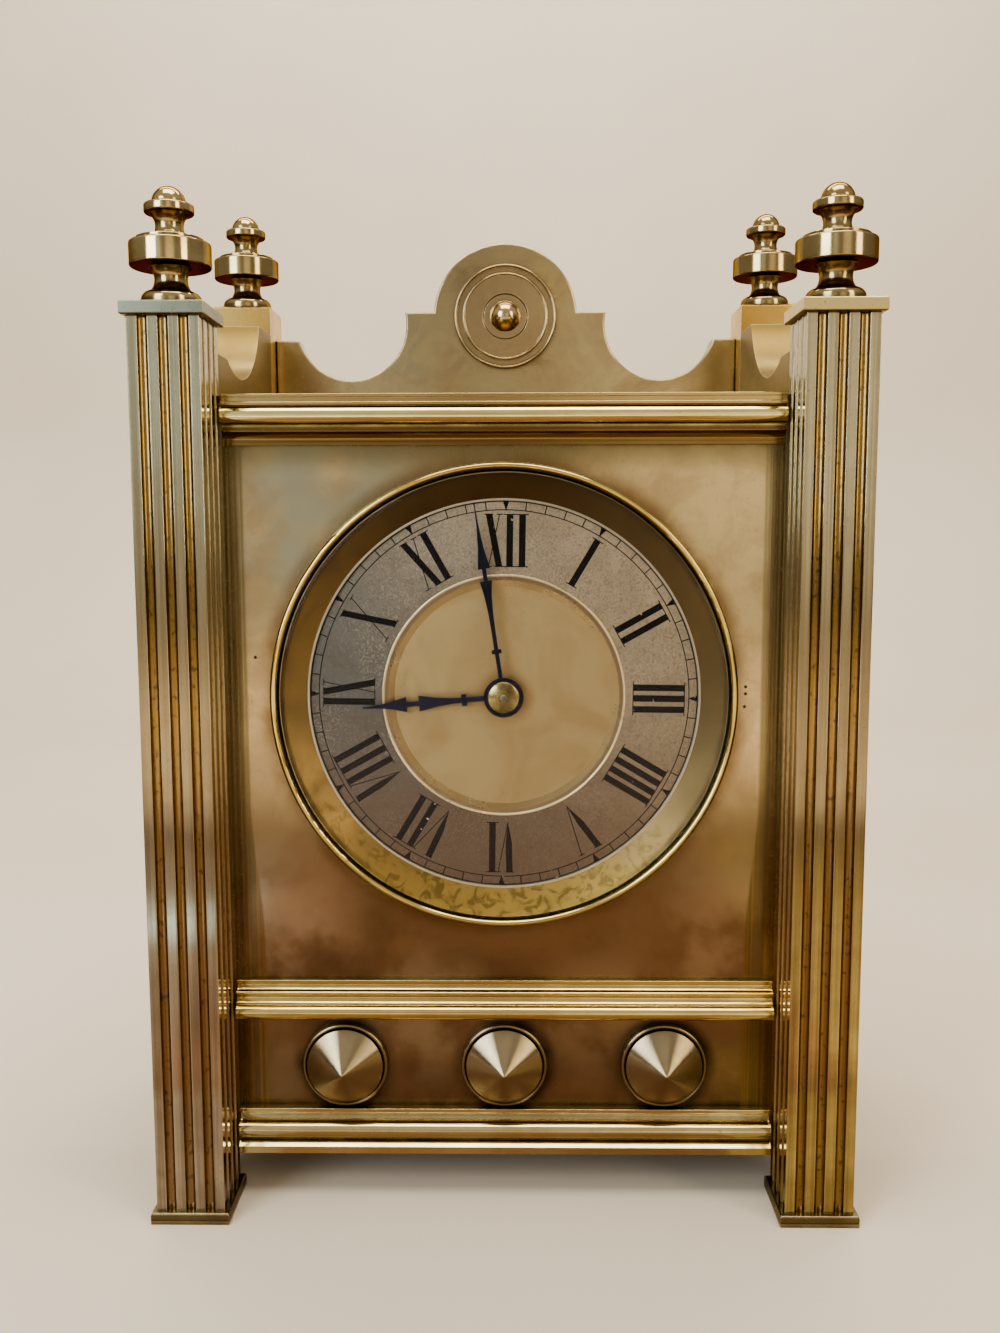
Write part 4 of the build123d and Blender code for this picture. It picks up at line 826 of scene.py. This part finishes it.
def numeral(thick, hair, hour, letters):
    turn = dial_frame(30 * hour)
    half = STROKE / 2
    run = []
    for letter, *ends in letters:
        if letter == "I":
            block(thick, ends[0] - half, ends[0] + half, FOOT + HAIR, HEAD - HAIR, turn)
            run.append(ends[0])
        elif letter == "V":
            thick_end, thin_end, tip = ends
            shoulder = FOOT + (HEAD - FOOT) * V_SHOULDER
            lean = (thick_end + tip) / 2
            outline(thick, (
                (tip, FOOT), (lean + half, shoulder), (thick_end + half, HEAD - HAIR),
                (thick_end - half, HEAD - HAIR), (lean - half, shoulder),
            ), turn)
            slant(hair, tip, thin_end, HAIR, turn)
            serif(hair, thick_end - THICK_SERIF, thick_end + THICK_SERIF, HEAD - HAIR, turn)
            serif(hair, thin_end - THIN_SERIF, thin_end + THIN_SERIF, HEAD - HAIR, turn)
        else:
            head_end, foot_end = ends
            slant(thick, foot_end, head_end, STROKE, turn)
            slant(hair, head_end, foot_end, HAIR, turn)
            rows = ((FOOT, foot_end, head_end), (HEAD - HAIR, head_end, foot_end))
            for level, thick_end, thin_end in rows:
                serif(hair, thick_end - THICK_SERIF, thick_end + THICK_SERIF, level, turn)
                serif(hair, thin_end - THIN_SERIF, thin_end + THIN_SERIF, level, turn)
    if run:
        for level in (FOOT, HEAD - HAIR):
            serif(hair, run[0] - half - SERIF, run[-1] + half + SERIF, level, turn)


def make_numerals():
    thick, hair = bmesh.new(), bmesh.new()
    for hour, letters in NUMERALS:
        numeral(thick, hair, hour, letters)
    raise_faces(thick, STROKE_WAX)
    raise_faces(hair, HAIR_WAX)
    new_piece("numeral_strokes", thick, wax, "case")
    new_piece("numeral_hairlines", hair, wax, "case")


LINE_SIDES = 240


def circle_line(build, inner, outer):
    """A thin ring on the dial face."""
    upright = Matrix.Translation(DIAL_CENTRE) @ Matrix.Rotation(math.radians(90), 4, "X")
    made = bmesh.ops.create_circle(
        build, cap_ends=False, radius=inner * MM, segments=LINE_SIDES, matrix=upright,
    )
    edges = list({edge for vert in made["verts"] for edge in vert.link_edges})
    grown = bmesh.ops.extrude_edge_only(build, edges=edges)
    moved = [item for item in grown["geom"] if isinstance(item, bmesh.types.BMVert)]
    away = Matrix.Translation(-DIAL_CENTRE)
    share = outer / inner
    bmesh.ops.scale(build, vec=(share, 1.0, share), space=away, verts=moved)


# Circles and ticks of the minute track, in millimetres from the dial centre or across
TRACK_INNER = 71.9
TRACK_OUTER = 75.2
TRACK_LINE = 0.36
TICK_HALF = 0.2
WEDGE_HALF = 1.15


def make_minute_track():
    lines, ticks = bmesh.new(), bmesh.new()
    for radius in (TRACK_INNER, TRACK_OUTER):
        circle_line(lines, radius, radius + TRACK_LINE)
    raise_faces(lines, HAIR_WAX)
    foot = TRACK_INNER + TRACK_LINE
    for minute in range(60):
        turn = dial_frame(6 * minute)
        if minute % 5:
            block(ticks, -TICK_HALF, TICK_HALF, foot, TRACK_OUTER, turn)
        else:
            outline(ticks, (
                (-TICK_HALF, foot), (TICK_HALF, foot),
                (WEDGE_HALF, TRACK_OUTER), (-WEDGE_HALF, TRACK_OUTER),
            ), turn)
    raise_faces(ticks, TICK_WAX)
    new_piece("minute_track_lines", lines, wax, "case")
    new_piece("minute_track_ticks", ticks, wax, "case")


# Pointed blades on the hands: clockwise angle, then distance from the centre and half width, in millimetres
HAND_BLADES = (
    ("minute_hand", "minute_train", -8.5, (
        ((50.6, 2.3), (58.0, 1.1), (66.6, 0.4), (74.6, 0.15)),
        ((45.5, 2.3), (40.0, 1.5), (33.0, 0.95), (26.0, 0.8)),
    )),
    ("hour_hand", "hour_train", 265.5, (
        ((37.9, 3.0), (43.0, 1.6), (47.9, 0.8), (54.9, 0.18)),
        ((33.0, 3.1), (29.0, 2.3), (24.9, 1.6), (17.5, 0.95)),
    )),
)
BLADE_THICK = 0.5 * MM
BLADE_PROUD = 0.06 * MM


def make_hand_blades():
    for hand, body, angle, blades in HAND_BLADES:
        build = bmesh.new()
        for blade in blades:
            right = [(half, reach) for reach, half in blade]
            left = [(-half, reach) for reach, half in reversed(blade)]
            outline(build, right + left, turned(angle))
        raise_faces(build, BLADE_THICK)
        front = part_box(hand)[0].y - BLADE_PROUD
        bmesh.ops.translate(build, verts=build.verts[:], vec=(0.0, front + BLADE_THICK - DIAL_FACE, 0.0))
        new_piece(hand + "_blades", build, blued, body)


make_numerals()
make_minute_track()
make_hand_blades()


# Edges of the studio floor, its sweep and the height above the sweep, in metres
FLOOR_FRONT = -3.0
FLOOR_BACK = 1.1
FLOOR_HALF = 3.0
SWEEP_RADIUS = 0.5
SWEEP_STEPS = 24
BACK_TALL = 3.0
FLOOR_TONES = (rgb(0.72, 0.645, 0.55), rgb(0.75, 0.675, 0.58))


# Stage: a pale floor that sweeps up behind the clock
def make_stage():
    build = bmesh.new()
    left = build.verts.new((-FLOOR_HALF, FLOOR_BACK, 0.0))
    right = build.verts.new((FLOOR_HALF, FLOOR_BACK, 0.0))
    crease = build.edges.new((left, right))
    front = bmesh.ops.extrude_edge_only(build, edges=[crease])
    verts = [item for item in front["geom"] if isinstance(item, bmesh.types.BMVert)]
    bmesh.ops.translate(build, verts=verts, vec=(0.0, FLOOR_FRONT - FLOOR_BACK, 0.0))
    swept = bmesh.ops.spin(
        build, geom=[left, right, crease], cent=(0.0, FLOOR_BACK, SWEEP_RADIUS), axis=(1.0, 0.0, 0.0),
        dvec=(0.0, 0.0, 0.0), angle=math.radians(90), steps=SWEEP_STEPS, use_merge=False,
        use_duplicate=False,
    )
    last = [item for item in swept["geom_last"] if isinstance(item, bmesh.types.BMEdge)]
    top = bmesh.ops.extrude_edge_only(build, edges=last)
    verts = [item for item in top["geom"] if isinstance(item, bmesh.types.BMVert)]
    bmesh.ops.translate(build, verts=verts, vec=(0.0, 0.0, BACK_TALL))
    bmesh.ops.remove_doubles(build, verts=build.verts[:], dist=0.00001)
    bmesh.ops.recalc_face_normals(build, faces=build.faces)
    mesh = bpy.data.meshes.new("studio_floor")
    build.to_mesh(mesh)
    build.free()
    for face in mesh.polygons:
        face.use_smooth = True
    material, tree, shader = start_material("pale_floor")
    cloud = remap(tree, noise(tree, object_place(tree), 3.0, 3.0), 0.3, 0.7)
    tree.links.new(blend(tree, cloud, *FLOOR_TONES), shader.inputs["Base Color"])
    shader.inputs["Roughness"].default_value = 0.6
    mesh.materials.append(material)
    floor = bpy.data.objects.new("studio_floor", mesh)
    bpy.context.scene.collection.objects.link(floor)


make_stage()


# Soft studio light
def soft_lamp(name, place_at, aim, wide, tall, power, colour):
    data = bpy.data.lights.new(name, "AREA")
    data.shape = "RECTANGLE"
    data.size, data.size_y = wide, tall
    data.energy = power
    data.color = colour
    lamp = bpy.data.objects.new(name, data)
    lamp.location = place_at
    lamp.rotation_euler = (Vector(aim) - Vector(place_at)).to_track_quat("-Z", "Y").to_euler()
    bpy.context.scene.collection.objects.link(lamp)


WARM = (1.0, 0.93, 0.80)
COOL = (0.88, 0.96, 1.0)
AMBER = (1.0, 0.86, 0.62)
FRONT = (0.0, 0.0, 0.22)
soft_lamp("window_left", (-1.05, -1.25, 0.80), FRONT, 0.75, 1.1, 15.0, COOL)
soft_lamp("window_right", (1.25, -1.05, 0.75), FRONT, 0.45, 1.1, 7.0, AMBER)
soft_lamp("ceiling", (0.0, -0.35, 1.75), FRONT, 1.3, 0.8, 17.0, WARM)
soft_lamp("wall_wash", (0.0, 0.75, 2.1), (0.0, 1.6, 0.5), 2.4, 0.5, 30.0, WARM)


# Stretches the cloudy figure of a card from side to side
CARD_FIGURE = (3.0, 22.0, 1.0)


# Cards that only the polished metal mirrors, out of the picture, so that its lower half looks brown
def mirror_card(name, left, right, front, back, level, tones, glow):
    build = bmesh.new()
    spread = Matrix.Diagonal(((right - left) / 2, (back - front) / 2, 1.0, 1.0))
    at = Matrix.Translation(((left + right) / 2, (front + back) / 2, level))
    bmesh.ops.create_grid(build, x_segments=1, y_segments=1, size=1.0, matrix=at @ spread)
    mesh = bpy.data.meshes.new(name)
    build.to_mesh(mesh)
    build.free()
    material, tree, shader = start_material(name)
    figure = vector_maths(tree, "MULTIPLY", object_place(tree), CARD_FIGURE)
    tone = blend(tree, remap(tree, noise(tree, figure, 1.0, 4.0), 0.35, 0.65), *tones)
    tree.links.new(tone, shader.inputs["Base Color"])
    tree.links.new(tone, shader.inputs["Emission Color"])
    shader.inputs["Emission Strength"].default_value = glow
    shader.inputs["Roughness"].default_value = 0.8
    mesh.materials.append(material)
    card = bpy.data.objects.new(name, mesh)
    card.visible_camera = False
    card.visible_diffuse = False
    card.visible_transmission = False
    card.visible_shadow = False
    bpy.context.scene.collection.objects.link(card)


# Paler and darker tone of the cards
BROWN_TONES = (rgb(0.29, 0.175, 0.105), rgb(0.185, 0.105, 0.06))
GREY_SHEEN = (rgb(0.33, 0.26, 0.20), rgb(0.22, 0.16, 0.115))
GOLDEN_SHEEN = (rgb(0.40, 0.32, 0.17), rgb(0.30, 0.225, 0.11))
EDGE_TONES = (rgb(0.05, 0.035, 0.02), rgb(0.03, 0.02, 0.012))
FAR_TONES = (rgb(0.80, 0.69, 0.54), rgb(0.70, 0.60, 0.47))
GLEAM_TONES = (rgb(0.62, 0.74, 0.78), rgb(0.50, 0.60, 0.64))

# Name, left, right, front and back edge and level in metres, tones, glow
MIRROR_CARDS = (
    ("brown_table_card", -1.0, 1.0, -0.64, -0.02, 0.0015, BROWN_TONES, 0.0),
    ("left_sheen_card", -0.36, -0.175, -0.62, -0.05, 0.002, GREY_SHEEN, 0.0),
    ("right_sheen_card", 0.165, 0.36, -0.62, -0.05, 0.002, GOLDEN_SHEEN, 0.0),
    ("left_foot_card", -0.175, -0.095, -0.18, -0.05, 0.002, GREY_SHEEN, 0.0),
    ("right_foot_card", 0.095, 0.165, -0.18, -0.05, 0.002, GOLDEN_SHEEN, 0.0),
    ("table_edge_card", -1.0, 1.0, -0.74, -0.64, 0.0015, EDGE_TONES, 0.0),
    ("far_floor_card", -2.0, 2.0, -2.8, -0.74, 0.0015, FAR_TONES, 0.5),
    ("table_gleam_card", -0.31, -0.195, -0.46, -0.39, 0.003, GLEAM_TONES, 0.7),
)
for card in MIRROR_CARDS:
    mirror_card(*card)


ROOM_BELOW = rgb(0.11, 0.09, 0.068)
ROOM_ABOVE = rgb(0.52, 0.47, 0.39)
PLAIN_WALL = rgb(0.50, 0.455, 0.39)

# Turn to the right and lift in degrees, reach of the full and the faded patch, colour
ROOM_GLOWS = (
    (-12.0, 1.0, 4.0, 15.0, rgb(0.66, 0.60, 0.49)),
    (-18.0, 10.0, 2.0, 9.0, rgb(0.72, 0.76, 0.68)),
    (14.0, 6.0, 5.0, 17.0, rgb(0.95, 0.82, 0.60)),
)


# Dim warm surroundings for the metal to mirror, lighter overhead, with soft glows behind the viewer
def make_room():
    world = bpy.data.worlds.new("room")
    world.use_nodes = True
    tree = world.node_tree
    look = place(tree, "TexCoord").outputs["Generated"]
    up = place(tree, "SeparateXYZ", {0: look}).outputs["Z"]
    colour = blend(tree, remap(tree, up, -0.05, 0.5), ROOM_BELOW, ROOM_ABOVE)
    for turn, lift, inner, outer, glow in ROOM_GLOWS:
        turn, lift = math.radians(turn), math.radians(lift)
        aim = (math.sin(turn) * math.cos(lift), -math.cos(turn) * math.cos(lift), math.sin(lift))
        toward = place(tree, "VectorMath", {0: look, 1: aim}, operation="DOT_PRODUCT").outputs["Value"]
        patch = remap(tree, toward, math.cos(math.radians(outer)), math.cos(math.radians(inner)))
        colour = blend(tree, patch, colour, glow)
    seen = place(tree, "LightPath").outputs["Is Camera Ray"]
    tree.links.new(blend(tree, seen, colour, PLAIN_WALL), tree.nodes["Background"].inputs["Color"])
    bpy.context.scene.world = world


make_room()
bpy.context.scene.view_settings.view_transform = "AgX"
bpy.context.scene.view_settings.look = "AgX - Medium High Contrast"


# Camera at the photograph's angle: pixels, metres and degrees
PHOTO_TALL = 1333
FOCAL_PIXELS = 1194.6
CAMERA_PLACE = (0.004563, -0.50698, 0.262264)
CAMERA_TURN = 0.743
CAMERA_DIP = 6.32
CAMERA_ROLL = -0.135
camera_data = bpy.data.cameras.new("viewpoint")
camera_data.sensor_fit = "VERTICAL"
camera_data.sensor_height = 36.0
camera_data.lens = FOCAL_PIXELS / PHOTO_TALL * camera_data.sensor_height
camera_data.clip_start = 0.05
camera = bpy.data.objects.new("viewpoint", camera_data)
turn = Matrix.Rotation(math.radians(CAMERA_TURN), 4, "Z")
tip = Matrix.Rotation(math.radians(90 - CAMERA_DIP), 4, "X")
roll = Matrix.Rotation(math.radians(CAMERA_ROLL), 4, "Z")
camera.matrix_world = Matrix.Translation(CAMERA_PLACE) @ turn @ tip @ roll
bpy.context.scene.collection.objects.link(camera)
bpy.context.scene.camera = camera
